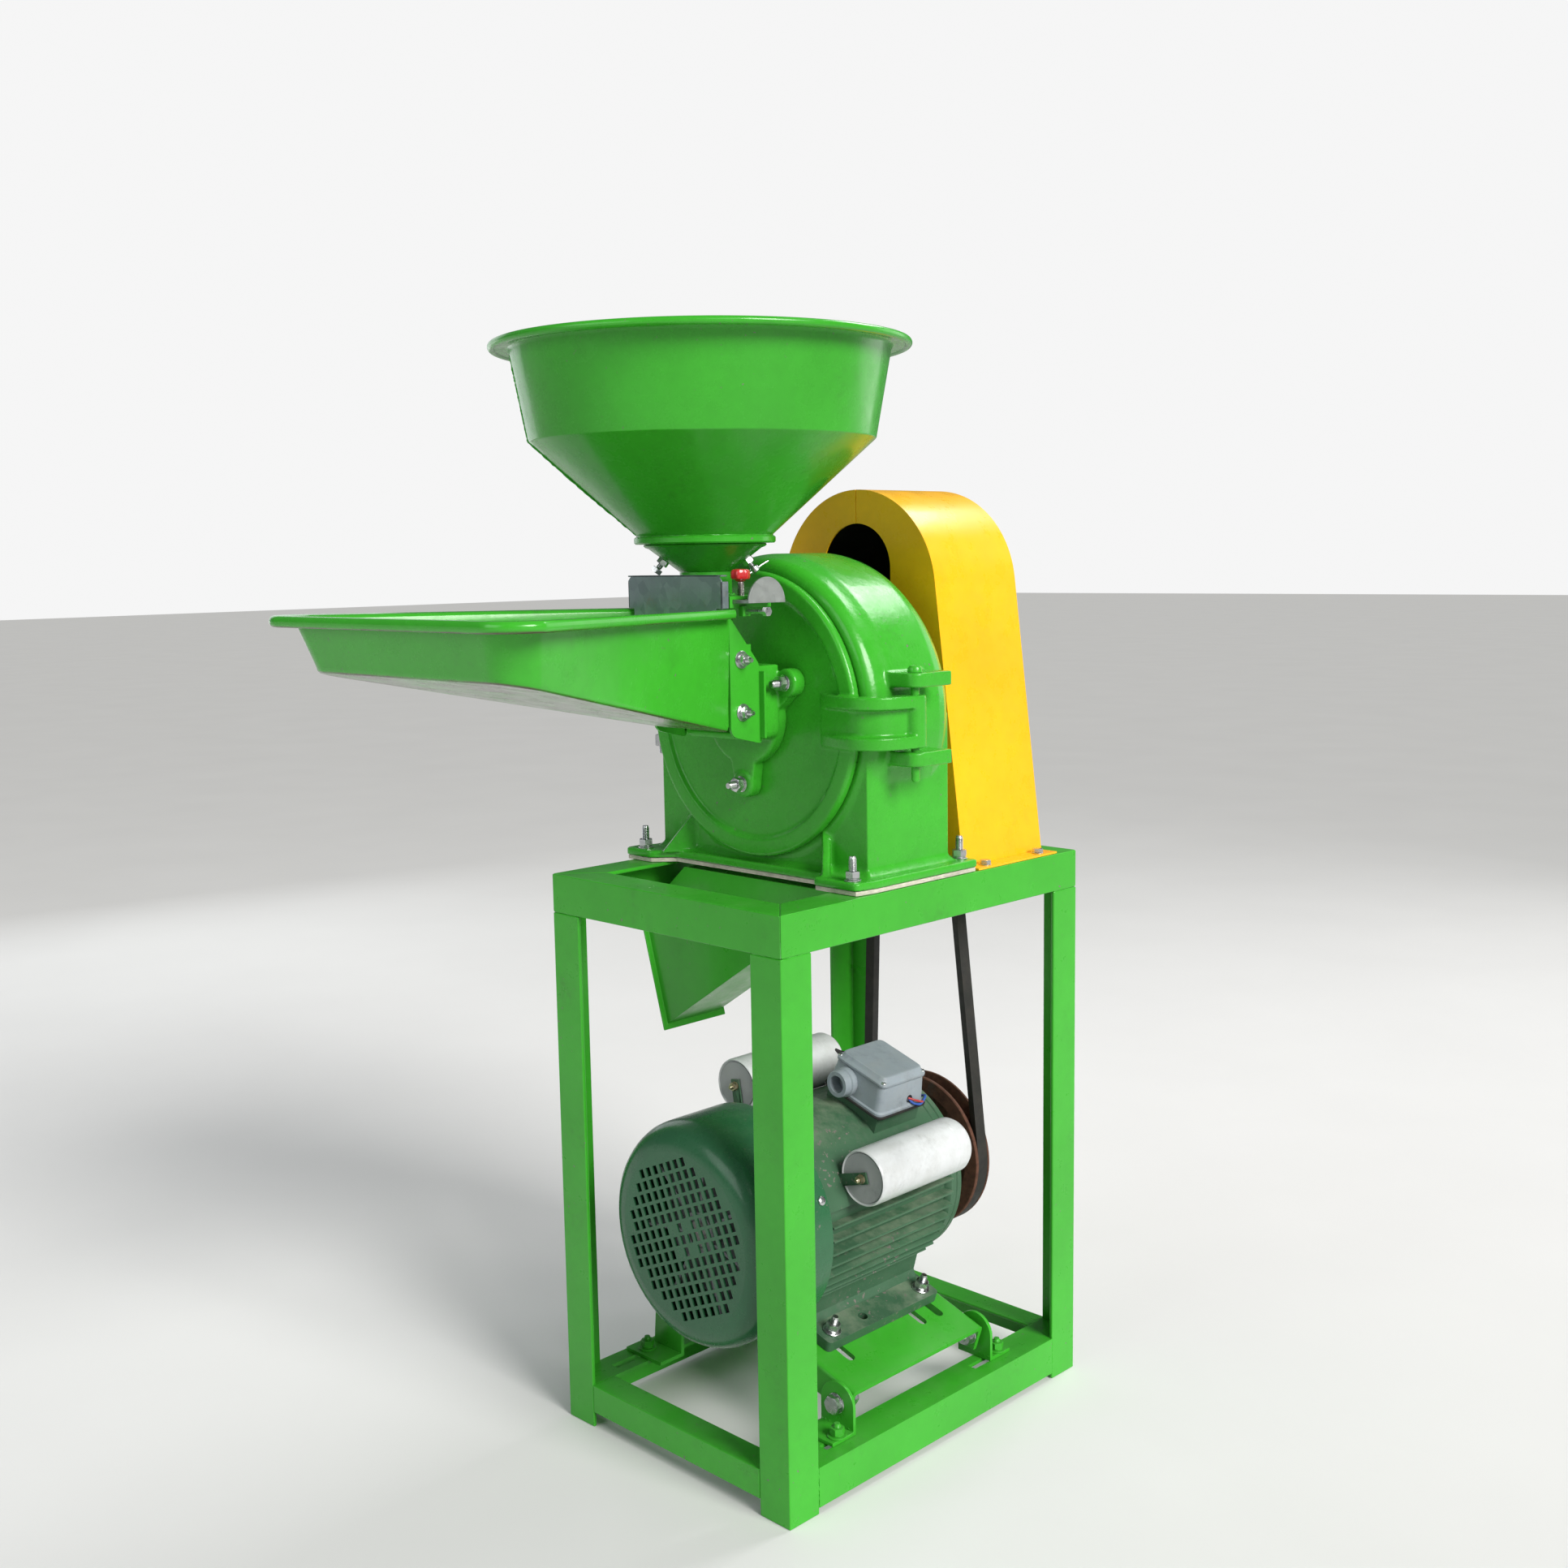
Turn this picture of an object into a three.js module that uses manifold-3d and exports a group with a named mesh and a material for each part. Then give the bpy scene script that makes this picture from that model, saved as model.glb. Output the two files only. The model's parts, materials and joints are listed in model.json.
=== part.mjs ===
// Belt-driven claw mill on an angle-iron stand. Millimetres, +Z up, door and feed tray towards -Y.
// Inside the model every piece is placed from the middle of the stand's footprint, on the floor.
import * as THREE from "three";
import { mergeVertices } from "three/addons/utils/BufferGeometryUtils.js";
import Module from "manifold-3d";

const wasm = await Module();
wasm.setup();

// ---- Driving dimensions ----
const GAP = 0.3; // left between pieces that touch
const STAND = { width: 328.3, depth: 452.8, height: 586.4 };
const ANGLE = { leg: 40, wall: 4 }; // main angle iron
const CROSS = { leg: 30, wall: 3 }; // lighter angle across the bottom, front and back
const SILL_TOP = 46.4; // top of all four bottom rails
const BASE = { bottom: 591.4, top: 599.4, halfWidth: 164, back: 58 };
const SHAFT_Z = 748.5;
const CHAMBER = { radius: 138, mouth: -90, back: 15 };
const PEDESTAL = { halfWidth: 146, front: -88, back: 33, wall: 7 };
const DOOR = { radius: 142.5, back: -91.3, front: -101, field: -98.3, feedRadius: 40 };
const HINGE = { x: 177, y: -54, pinRadius: 4, holeRadius: 4.3 };
const CLAMP = { x: -159, y: -76, z: 749, shank: 3.9 };
const SPOUT = { halfWidth: 52, front: -140, flange: -113, bottom: 728, top: 801 };
const CHEEK = { inner: 52.3, wall: 3 };
const TRAY = { front: -530, rim: 855, wall: 2 };
const FEED_Y = -155; // axis of the gate box, funnel and hopper
const GATE = { top: 868, bottom: 857, plateLow: 861.5, plateHigh: 864.5 };
const HOPPER = { bottom: 917.5, neck: 64, shoulder: 165.5, drum: 180.7, lip: 200, top: 1105 };
const COVER = { front: 61, back: 194, topRadius: 107, topZ: 865, footHalf: 142, wall: 2 };
const CHUTE = { front: -98, back: -20, wall: 3 };
const BELT = { front: 134, back: 150, thickness: 10 };
const PULLEY = { front: 130.5, back: 153.5, small: 48, large: 85 };
const MOTOR = { x: 18.8, z: 243.6, tilt: 18, height: 112, halfGauge: 95, front: -136, back: 80 };
const CAPACITOR = { x: 93, z: 87, radius: 28.5, front: -88, back: 52 };
const PLATE = { left: -120, right: 165, front: -112, back: 93, wall: 5, flange: 25 };
const PLATE_HINGE = { x: 126, z: 74 };
const BOLT = { shank: 4.9, hole: 5.3, head: 8.5 };
const CENTRE_Y = (STAND.depth / 2 + TRAY.front) / 2; // middle of the whole machine, front to back

const X = new THREE.Vector3(1, 0, 0);
const Y = new THREE.Vector3(0, 1, 0);
const Z = new THREE.Vector3(0, 0, 1);
const rad = THREE.MathUtils.degToRad;

// ---- Materials ----
function finish(color, roughness, metalness = 0) {
  return new THREE.MeshStandardMaterial({ color, roughness, metalness });
}
const greenPaint = finish(0x46a83a, 0.3);
const motorPaint = finish(0x3c6e4b, 0.4);
const yellowPaint = finish(0xf2c81e, 0.35);
const steel = finish(0xb4b7b8, 0.35, 1);
const darkIron = finish(0x4c4a48, 0.5, 0.9);
const rustyIron = finish(0x6b3e2a, 0.7, 0.6);
const greyPlastic = finish(0x8c969b, 0.5);
const palePlastic = finish(0xc3c6c4, 0.4);
const redPlastic = finish(0xd7282d, 0.35);
const rubber = finish(0x141414, 0.8);
const board = finish(0xb9ab94, 0.9);

// ---- Shape helpers ----

// A closed geometry as a solid; one that faces inwards is turned round.
function solid(geometry) {
  const bare = geometry.index ? geometry.toNonIndexed() : geometry.clone();
  bare.deleteAttribute("normal");
  bare.deleteAttribute("uv");
  const merged = mergeVertices(bare, 1e-4);
  const corners = [];
  const index = merged.index.array;
  for (let i = 0; i < index.length; i += 3) {
    const [a, b, c] = index.slice(i, i + 3);
    if (a !== b && b !== c && c !== a) corners.push(a, b, c);
  }
  const vertProperties = merged.attributes.position.array;
  const build = (list) =>
    new wasm.Manifold(new wasm.Mesh({ numProp: 3, vertProperties, triVerts: Uint32Array.from(list) }));
  const made = build(corners);
  return made.volume() > 0 ? made : build(corners.reverse());
}

function geometryOf(body) {
  const mesh = body.getMesh();
  const geometry = new THREE.BufferGeometry();
  geometry.setAttribute("position", new THREE.BufferAttribute(mesh.vertProperties, 3));
  geometry.setIndex(new THREE.BufferAttribute(mesh.triVerts, 1));
  const flat = geometry.toNonIndexed();
  flat.computeVertexNormals();
  return flat;
}

const join = (first, ...rest) => rest.reduce((sum, piece) => sum.add(piece), first);
const cut = (first, ...rest) => rest.reduce((left, piece) => left.subtract(piece), first);

function block([x0, x1], [y0, y1], [z0, z1]) {
  const box = new THREE.BoxGeometry(x1 - x0, y1 - y0, z1 - z0);
  box.translate((x0 + x1) / 2, (y0 + y1) / 2, (z0 + z1) / 2);
  return solid(box);
}

// Turns a geometry built round its own Y axis to the named axis, centred on the other two coordinates.
function along(geometry, axis, a, b) {
  if (axis === "x") return geometry.rotateZ(-Math.PI / 2).translate(0, a, b);
  if (axis === "z") return geometry.rotateX(Math.PI / 2).translate(a, b, 0);
  return geometry.translate(a, 0, b);
}

function bar(axis, radius, [from, to], a = 0, b = 0, sides = 24) {
  const rod = new THREE.CylinderGeometry(radius, radius, to - from, sides);
  return solid(along(rod.translate(0, (from + to) / 2, 0), axis, a, b));
}

// A turned piece: its profile is a list of [radius, position along the axis].
function turned(axis, profile, a = 0, b = 0, sides = 48) {
  const points = profile.map(([r, h]) => new THREE.Vector2(r, h));
  return solid(along(new THREE.LatheGeometry(points, sides), axis, a, b));
}

const ring = (axis, inner, outer, [from, to], a, b, sides) =>
  turned(axis, [[inner, from], [outer, from], [outer, to], [inner, to], [inner, from]], a, b, sides);

const outline = (points) => new THREE.Shape(points.map(([x, y]) => new THREE.Vector2(x, y)));

const PLANES = {
  xy: new THREE.Matrix4().makeBasis(X, Y, Z),
  xz: new THREE.Matrix4().makeBasis(X, Z, Y.clone().negate()),
  yz: new THREE.Matrix4().makeBasis(Y, Z, X),
};

// A flat outline in the named plane, thick from one level to the next along the remaining axis.
function slab(plane, shape, [from, to], curveSegments = 12) {
  const sheet = new THREE.ExtrudeGeometry(shape, { depth: to - from, bevelEnabled: false, curveSegments });
  sheet.applyMatrix4(PLANES[plane]);
  const lift = { xy: [0, 0, from], xz: [0, to, 0], yz: [from, 0, 0] }[plane];
  return solid(sheet.translate(...lift));
}

// A solid between two rings of the same number of [x, y, z] points, both counter-clockwise from above.
function loft(lower, upper) {
  const count = lower.length;
  const faces = [];
  for (let i = 0; i < count; i++) {
    const next = (i + 1) % count;
    faces.push(i, next, count + next, i, count + next, count + i);
  }
  const cap = (ringPoints, offset, flip) => {
    const plan = ringPoints.map(([x, y]) => new THREE.Vector2(x, y));
    for (const [a, b, c] of THREE.ShapeUtils.triangulateShape(plan, []))
      faces.push(offset + a, offset + (flip ? c : b), offset + (flip ? b : c));
  };
  cap(lower, 0, true);
  cap(upper, count, false);
  const geometry = new THREE.BufferGeometry();
  geometry.setAttribute("position", new THREE.Float32BufferAttribute([...lower, ...upper].flat(), 3));
  return solid(geometry.setIndex(faces));
}

// Moves each edge of a counter-clockwise polygon inwards by its own amount.
function inset(points, amounts) {
  const lines = points.map((p, i) => {
    const q = points[(i + 1) % points.length];
    const length = Math.hypot(q[0] - p[0], q[1] - p[1]);
    const normal = [-(q[1] - p[1]) / length, (q[0] - p[0]) / length];
    return { normal, level: normal[0] * p[0] + normal[1] * p[1] + amounts[i] };
  });
  return lines.map((line, i) => {
    const last = lines[(i + lines.length - 1) % lines.length];
    const det = last.normal[0] * line.normal[1] - last.normal[1] * line.normal[0];
    return [
      (last.level * line.normal[1] - line.level * last.normal[1]) / det,
      (last.normal[0] * line.level - line.normal[0] * last.level) / det,
    ];
  });
}

const mirrorX = (points) => points.map(([x, y]) => [-x, y]).reverse();

function add(group, name, body, material) {
  const mesh = new THREE.Mesh(geometryOf(body), material);
  mesh.name = name;
  group.add(mesh);
  return mesh;
}

// ---- Stand ----

// Angle iron along X with its outer face on y = 0 and its top on z = 0, mitred at both ends.
function mitredAngle(length, { leg, wall }) {
  const plan = (depth) => {
    const half = length / 2 - GAP;
    return outline([[-half, 0], [half, 0], [half - depth, depth], [depth - half, depth]]);
  };
  return join(slab("xy", plan(wall), [-leg, 0]), slab("xy", plan(leg), [-wall, 0]));
}

function addTopRails(group) {
  const sides = [
    ["front", STAND.width, STAND.depth / 2],
    ["right", STAND.depth, STAND.width / 2],
    ["back", STAND.width, STAND.depth / 2],
    ["left", STAND.depth, STAND.width / 2],
  ];
  sides.forEach(([side, length, offset], i) => {
    const turn = (i * Math.PI) / 2;
    const rail = add(group, `top_rail_${side}`, mitredAngle(length, ANGLE), greenPaint);
    rail.rotation.z = turn;
    rail.position.set(offset * Math.sin(turn), -offset * Math.cos(turn), STAND.height);
  });
}

function addLegs(group) {
  const { leg, wall } = ANGLE;
  const section = outline([[0, 0], [leg, 0], [leg, wall], [wall, wall], [wall, leg], [0, leg]]);
  const post = slab("xy", section, [0, STAND.height - leg - GAP]);
  const corners = [["front_left", -1, -1], ["front_right", 1, -1], ["back_right", 1, 1], ["back_left", -1, 1]];
  corners.forEach(([corner, sx, sy], i) => {
    const mesh = add(group, `leg_${corner}`, post, greenPaint);
    mesh.rotation.z = (i * Math.PI) / 2;
    mesh.position.set((sx * STAND.width) / 2, (sy * STAND.depth) / 2, 0);
  });
}

// Side sill: angle iron along Y between the legs, slotted for the motor brackets.
function sideSill(side, slots) {
  const { leg, wall } = ANGLE;
  const outer = STAND.width / 2;
  const betweenLegs = STAND.depth / 2 - leg - GAP;
  const insideLegs = STAND.depth / 2 - wall - GAP;
  const inLeg = outer - wall - GAP;
  const shelf = [
    [outer - leg, -insideLegs], [inLeg, -insideLegs], [inLeg, -betweenLegs], [outer, -betweenLegs],
    [outer, betweenLegs], [inLeg, betweenLegs], [inLeg, insideLegs], [outer - leg, insideLegs],
  ];
  const top = slab("xy", outline(side > 0 ? shelf : mirrorX(shelf)), [SILL_TOP - wall, SILL_TOP]);
  const web = [outer - wall, outer].map((x) => side * x).sort((a, b) => a - b);
  const sill = join(top, block(web, [-betweenLegs, betweenLegs], [SILL_TOP - leg, SILL_TOP]));
  const slotX = side * 141;
  return cut(sill, ...slots.map((reach) => block([slotX - 5, slotX + 5], reach, [SILL_TOP - 9, SILL_TOP + 9])));
}

function crossSill(side) {
  const { leg, wall } = CROSS;
  const half = STAND.width / 2 - ANGLE.leg - GAP;
  const outer = STAND.depth / 2;
  const span = (depth) => [outer - depth, outer].map((y) => side * y).sort((a, b) => a - b);
  return join(
    block([-half, half], span(wall), [SILL_TOP - leg, SILL_TOP]),
    block([-half, half], span(leg), [SILL_TOP - wall, SILL_TOP]),
  );
}

function addSills(group) {
  add(group, "bottom_rail_right", sideSill(1, [[-156, -124], [74, 124]]), greenPaint);
  add(group, "bottom_rail_left", sideSill(-1, [[-183, -126], [104, 150]]), greenPaint);
  add(group, "bottom_rail_front", crossSill(-1), greenPaint);
  add(group, "bottom_rail_back", crossSill(1), greenPaint);
}

// ---- Mill casing ----

// The base plate seen from above: ears at the front corners with a recess between them.
function basePlan(grow) {
  const { halfWidth, back } = BASE;
  const plan = [
    [-halfWidth, back], [-halfWidth, -88], [-172, -96], [-172, -121], [-132, -121], [-114, -101],
    [98, -101], [104, -121], [160, -121], [halfWidth, -95], [halfWidth, back],
  ];
  return inset(plan, plan.map(() => -grow));
}

const MILL_OUTLET = [[-100, 118], [-80, -24]]; // opening in the base, X then Y

function packing() {
  const sheet = slab("xy", outline(basePlan(-2)), [STAND.height + GAP, BASE.bottom - GAP]);
  return cut(sheet, block(...MILL_OUTLET, [STAND.height - 1, BASE.bottom + 1]));
}

function hingeLug(bottom, top) {
  const shape = new THREE.Shape();
  shape.moveTo(142, HINGE.y - 12);
  shape.lineTo(HINGE.x, HINGE.y - 12);
  shape.absarc(HINGE.x, HINGE.y, 12, -Math.PI / 2, 0, false);
  shape.lineTo(HINGE.x + 12, -14);
  shape.lineTo(142, -14);
  return slab("xy", shape, [bottom, top], 6);
}

// Two ears for the swing bolt, cast on the drum's left side.
function clampClevis() {
  return join(
    block([-168, -146], [CLAMP.y + 9, CLAMP.y + 22], [CLAMP.z - 9, CLAMP.z + 9]),
    block([-168, -163.4], [CLAMP.y - 9, CLAMP.y + 9], [CLAMP.z - 8, CLAMP.z + 8]),
    bar("x", 2.9, [-165, -150], CLAMP.y, CLAMP.z, 12),
  );
}

function millCasing() {
  const { halfWidth, front, back, wall } = PEDESTAL;
  const drumProfile = [
    [0, CHAMBER.mouth], [144.5, CHAMBER.mouth], [151, -87], [155, -80], [158.5, -25], [158.5, 5], [156, 15],
    [148, 28], [138, 36], [125, 40], [0, 40],
  ];
  const drum = turned("y", drumProfile, 0, SHAFT_Z, 48);
  const pedestal = block([-halfWidth, halfWidth], [front, back], [BASE.bottom, SHAFT_Z]);
  const plate = slab("xy", outline(basePlan(0)), [BASE.bottom, BASE.top]);
  const rib = outline([[front + 1, 641], [front + 1, BASE.top - 1], [-117, BASE.top - 1]]);
  const ribs = [-108, 100].map((x) => slab("yz", rib, [x, x + 8]));
  const lugs = [hingeLug(705, 719), hingeLug(780, 794)];
  const boltPocket = block([-163.4, -154.6], [-92, CLAMP.y + 9], [690, 768]);
  const nutPocket = block([-168, CLAMP.x + 9], [-92, CLAMP.y + 9], [690, 720]);
  const outer = cut(join(drum, pedestal, plate, ...ribs, ...lugs), boltPocket, nutPocket);
  const [outletX, outletY] = MILL_OUTLET;
  return cut(
    join(outer, clampClevis()),
    bar("y", CHAMBER.radius, [CHAMBER.mouth - 1, CHAMBER.back], 0, SHAFT_Z, 48),
    block([-halfWidth + wall, halfWidth - wall], [front + wall, CHAMBER.back], [SHAFT_Z - 120, SHAFT_Z]),
    block(outletX, outletY, [BASE.bottom - 1, SHAFT_Z - 119]),
    block([-BASE.halfWidth, BASE.halfWidth], [PEDESTAL.front, BASE.back], [BASE.bottom - 9, BASE.bottom]),
    bar("y", 20, [0, 41], 0, SHAFT_Z),
    bar("z", HINGE.holeRadius, [700, 800], HINGE.x, HINGE.y, 16),
  );
}

function addMill(group) {
  add(group, "packing", packing(), board);
  add(group, "mill_casing", millCasing(), greenPaint);
  add(group, "ring_screen", ring("y", 124, 126.5, [-89, CHAMBER.back - GAP], 0, SHAFT_Z, 40), steel);
  const pin = join(
    bar("z", HINGE.pinRadius, [690, 798], HINGE.x, HINGE.y, 16),
    bar("z", 7, [794 + GAP, 801], HINGE.x, HINGE.y, 16),
  );
  add(group, "hinge_pin", pin, steel);
}

function addBearings(group) {
  const housing = [
    [20, 40 + GAP], [58, 40 + GAP], [58, 50], [42, 52], [42, 112], [31, 112], [31, 47.7], [20, 47.7],
    [20, 40 + GAP],
  ];
  add(group, "bearing_housing", turned("y", housing, 0, SHAFT_Z, 32), greenPaint);
  add(group, "bearing_front", ring("y", 15.3, 30.7, [48, 64], 0, SHAFT_Z, 24), steel);
  add(group, "bearing_rear", ring("y", 15.3, 30.7, [95.7, 111.7], 0, SHAFT_Z, 24), steel);
}

// ---- Belt cover and chute ----

// Round top with straight sides that run tangent to it down to the feet.
function coverOutline(shrink, foot) {
  const { topRadius, topZ, footHalf } = COVER;
  const radius = topRadius - shrink;
  const half = footHalf - shrink;
  const drop = topZ - foot;
  const lean = Math.atan2(drop, -half) - Math.asin(radius / Math.hypot(half, drop)) - Math.PI / 2;
  const shape = new THREE.Shape();
  shape.moveTo(-half, foot);
  shape.lineTo(half, foot);
  shape.absarc(0, topZ, radius, lean, Math.PI - lean, false);
  return shape;
}

function beltCover() {
  const { front, back, footHalf, wall } = COVER;
  const foot = STAND.height + GAP;
  const arch = new THREE.Shape();
  arch.moveTo(-47, 640);
  arch.lineTo(47, 640);
  arch.absarc(0, 890, 47, 0, Math.PI, false);
  const feet = [-1, 1].map((side) => {
    const reach = [footHalf - 3, 162].map((x) => side * x).sort((a, b) => a - b);
    return block(reach, [front, back], [foot, foot + wall]);
  });
  return cut(
    join(slab("xz", coverOutline(0, foot), [front, back], 18), ...feet),
    slab("xz", coverOutline(wall, foot - 1), [front + wall, back - wall], 18),
    slab("xz", arch, [front - 1, front + wall + 1]),
  );
}

function dischargeChute() {
  const { front, back, wall } = CHUTE;
  const top = STAND.height - ANGLE.wall - GAP;
  const low = [-139, 406];
  const high = [-172, 524];
  const side = [[-105, top], high, low, [128, top]];
  const passage = outline(inset(side, [wall, -12, wall, -12]));
  const reach = Math.hypot(high[0] - low[0], high[1] - low[1]);
  const [ux, uz] = [(high[0] - low[0]) / reach, (high[1] - low[1]) / reach];
  const lip = [
    [low[0] - 6 * ux, low[1] - 6 * uz],
    [low[0] - 6 * ux + 2 * uz, low[1] - 6 * uz - 2 * ux],
    [high[0] + 6 * ux + 2 * uz, high[1] + 6 * uz - 2 * ux],
    [high[0] + 6 * ux, high[1] + 6 * uz],
  ];
  return cut(
    join(slab("xz", outline(side), [front, back]), slab("xz", outline(lip), [front - 6, back + 6])),
    slab("xz", passage, [front + wall, back - wall]),
  );
}

// ---- Door and what is fixed to it ----

function armPlan(outerPoints) {
  const inner = [[HINGE.x - 10, HINGE.y], [165, -76], [157, -91], [143, -98.5], [101, -98.5]];
  const shape = new THREE.Shape();
  shape.moveTo(101, -98.5);
  shape.lineTo(101, -101);
  shape.splineThru(outerPoints.map(([x, y]) => new THREE.Vector2(x, y)));
  inner.slice(0, -1).forEach(([x, y]) => shape.lineTo(x, y));
  return shape;
}

function doorArm() {
  const ribPlan = armPlan([[125, -108], [150, -112], [170, -104], [181, -86], [187, HINGE.y]]);
  const webPlan = armPlan([[125, -103], [147, -105], [162, -98], [172, -84], [178, HINGE.y]]);
  return join(
    slab("xy", ribPlan, [723, 735], 4),
    slab("xy", ribPlan, [761, 773], 4),
    slab("xy", webPlan, [730, 766], 4),
    bar("z", 10, [723, 773], HINGE.x, HINGE.y, 20),
  );
}

function millDoor() {
  const { radius, back, front, field } = DOOR;
  const disc = [
    [0, back], [radius, back], [radius, front + 2], [radius - 2, front], [124, front], [122, field], [0, field],
  ];
  return cut(
    join(
      turned("y", disc, 0, SHAFT_Z, 48),
      block([-167, -130], [front, back], [731, 767]),
      doorArm(),
    ),
    block([CLAMP.x - 4.6, CLAMP.x + 4.6], [front - 1, back + 1], [730, CLAMP.z + 4.6]),
    bar("z", HINGE.holeRadius, [720, 776], HINGE.x, HINGE.y, 16),
    bar("y", DOOR.feedRadius, [front - 1, back + 1], 0, SHAFT_Z, 36),
  );
}

// A claw: a square tooth standing on a disc at the given angle and distance from the shaft.
function claw(angle, distance, [from, to], width) {
  const tooth = new THREE.BoxGeometry(width, to - from, width);
  tooth.translate(distance, (from + to) / 2, 0).rotateY(angle).translate(0, 0, SHAFT_Z);
  return solid(tooth);
}

const clawRing = (count, start, ...shape) =>
  Array.from({ length: count }, (_, i) => claw(start + (i * 2 * Math.PI) / count, ...shape));

function fixedClawDisc() {
  return join(
    ring("y", 44, 116, [DOOR.back + GAP, -83], 0, SHAFT_Z, 32),
    ...clawRing(8, 0.2, 88, [-84, -42], 12),
    ...clawRing(6, 0.5, 53, [-84, -46], 10),
  );
}

function feedSpout() {
  const { halfWidth, front, flange, bottom, top } = SPOUT;
  const lugs = [[-62, 783], [62, 783], [0, 680]];
  const arm = ([x, z]) => {
    const dz = z - SHAFT_Z;
    const length = Math.hypot(x, dz);
    const [nx, nz] = [(-dz / length) * 14, (x / length) * 14];
    const web = outline([[-nx, SHAFT_Z - nz], [x - nx, z - nz], [x + nx, z + nz], [nx, SHAFT_Z + nz]]);
    return join(slab("xz", web, [flange, DOOR.field - GAP]), bar("y", 14, [flange, DOOR.field - GAP], x, z));
  };
  return cut(
    join(
      bar("y", 50, [flange, DOOR.field - GAP], 0, SHAFT_Z, 40),
      ...lugs.map(arm),
      block([-halfWidth, halfWidth], [front, flange + 1], [bottom, top]),
    ),
    block([6 - halfWidth, halfWidth - 6], [front - 1, flange - 3], [bottom + 6, top + 1]),
    bar("y", 32, [front, DOOR.back], 0, 767, 32),
  );
}

function cheek(side) {
  const shape = outline([[-178, 850], [-178, 736], [-137, 726], [-139, 803]]);
  const reach = [CHEEK.inner, CHEEK.inner + CHEEK.wall].map((x) => side * x).sort((a, b) => a - b);
  return slab("yz", shape, reach);
}

// Half of the tray's plan from the mill end round a rounded front corner, mirrored for the other half.
function trayRing({ backHalf, back, frontHalf, front, radius, level }) {
  const steps = 5;
  const centre = [frontHalf - radius, front + radius];
  const corner = Array.from({ length: steps + 1 }, (_, i) => {
    const turn = (i / steps) * (Math.PI / 2);
    return [centre[0] + radius * Math.cos(turn), centre[1] - radius * Math.sin(turn)];
  });
  const right = [[backHalf, back], ...corner];
  const plan = [...right, ...mirrorX(right)].reverse();
  return plan.map(([x, y]) => [x, y, typeof level === "number" ? level : level(y)]);
}

function feedTray() {
  const { front, rim, wall } = TRAY;
  const slope = (813 - 741) / (503 - 180); // the floor rises towards the front
  const floorAt = (lift) => (y) => 741 + lift + slope * (-180 - y);
  const low = { backHalf: 52, back: -180, frontHalf: 152, front: -503, radius: 30, level: floorAt(0) };
  const high = { backHalf: 61, back: -184, frontHalf: 166, front: -515, radius: 34, level: rim };
  // The inside runs on past the mill end at the same taper, so that end is open.
  const inside = (r, level) => {
    const taper = (r.frontHalf - r.backHalf) / (r.back - r.front - r.radius);
    const back = -170;
    const backHalf = r.backHalf - wall - taper * (back - r.back);
    return { ...r, back, backHalf, frontHalf: r.frontHalf - wall, front: r.front + wall, level };
  };
  const rimOut = { backHalf: 76, back: -189, frontHalf: 188, front, radius: 44, level: rim - 4 };
  const rimSolid = loft(trayRing(rimOut), trayRing({ ...rimOut, level: rim }));
  const tabs = [-1, 1].map((side) => {
    const reach = [CHEEK.inner - 2.6, CHEEK.inner - GAP].map((x) => side * x).sort((a, b) => a - b);
    return block(reach, [-190, -154], [745, 785]);
  });
  const hollow = loft(trayRing(inside(low, floorAt(wall))), trayRing(inside(high, rim + 1)));
  return join(cut(join(loft(trayRing(low), trayRing(high)), rimSolid), hollow), ...tabs);
}

function trayGuard() {
  return join(
    block([-58, 58], [-197, -195], [842, 858]),
    block([-66, 66], [-197, -195], [TRAY.rim + GAP, 888]),
    block([-66, 66], [-197, -186], [886, 888]),
  );
}

function gateBox() {
  const { top, bottom, plateLow, plateHigh } = GATE;
  const ear = (side) => {
    const at = (a, b) => [a, b].map((x) => side * x).sort((p, q) => p - q);
    return join(
      block(at(22, CHEEK.inner - GAP), [FEED_Y - 3, FEED_Y + 3], [806, 822]),
      block(at(CHEEK.inner - 3.3, CHEEK.inner - GAP), [-176, FEED_Y + 8], [798, 822]),
    );
  };
  return cut(
    join(
      bar("z", 25, [806, 890.6], 0, FEED_Y, 32),
      block([-34, 61], [FEED_Y - 27, FEED_Y + 27], [bottom, top]),
      ear(-1),
      ear(1),
    ),
    bar("z", 21, [805, 892], 0, FEED_Y, 32),
    block([-27, 62], [FEED_Y - 23.4, FEED_Y + 23.4], [plateLow - GAP, plateHigh + GAP]),
    bar("z", 4.2, [plateHigh, top + 1], 48, FEED_Y, 12),
  );
}

// The sliding plate; its outer end is bent up into a half-moon handle.
function slideGate() {
  const { plateLow, plateHigh } = GATE;
  const moon = new THREE.Shape();
  moon.absarc(FEED_Y, plateLow, 24, 0, Math.PI, false);
  return join(
    block([-26.7, 83], [FEED_Y - 23, FEED_Y + 23], [plateLow, plateHigh]),
    slab("yz", moon, [81, 83.5], 9),
  );
}

function gateKnob() {
  return join(
    bar("z", 3.9, [GATE.plateHigh + GAP, 883], 48, FEED_Y, 12),
    bar("z", 9.5, [882, 893], 48, FEED_Y, 20),
  );
}

function funnel() {
  const profile = [[22, 890.9], [25, 890.9], [54.6, 914], [54.6, 917.2], [51.4, 917.2], [22, 894], [22, 890.9]];
  return turned("z", profile, 0, FEED_Y, 32);
}

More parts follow.
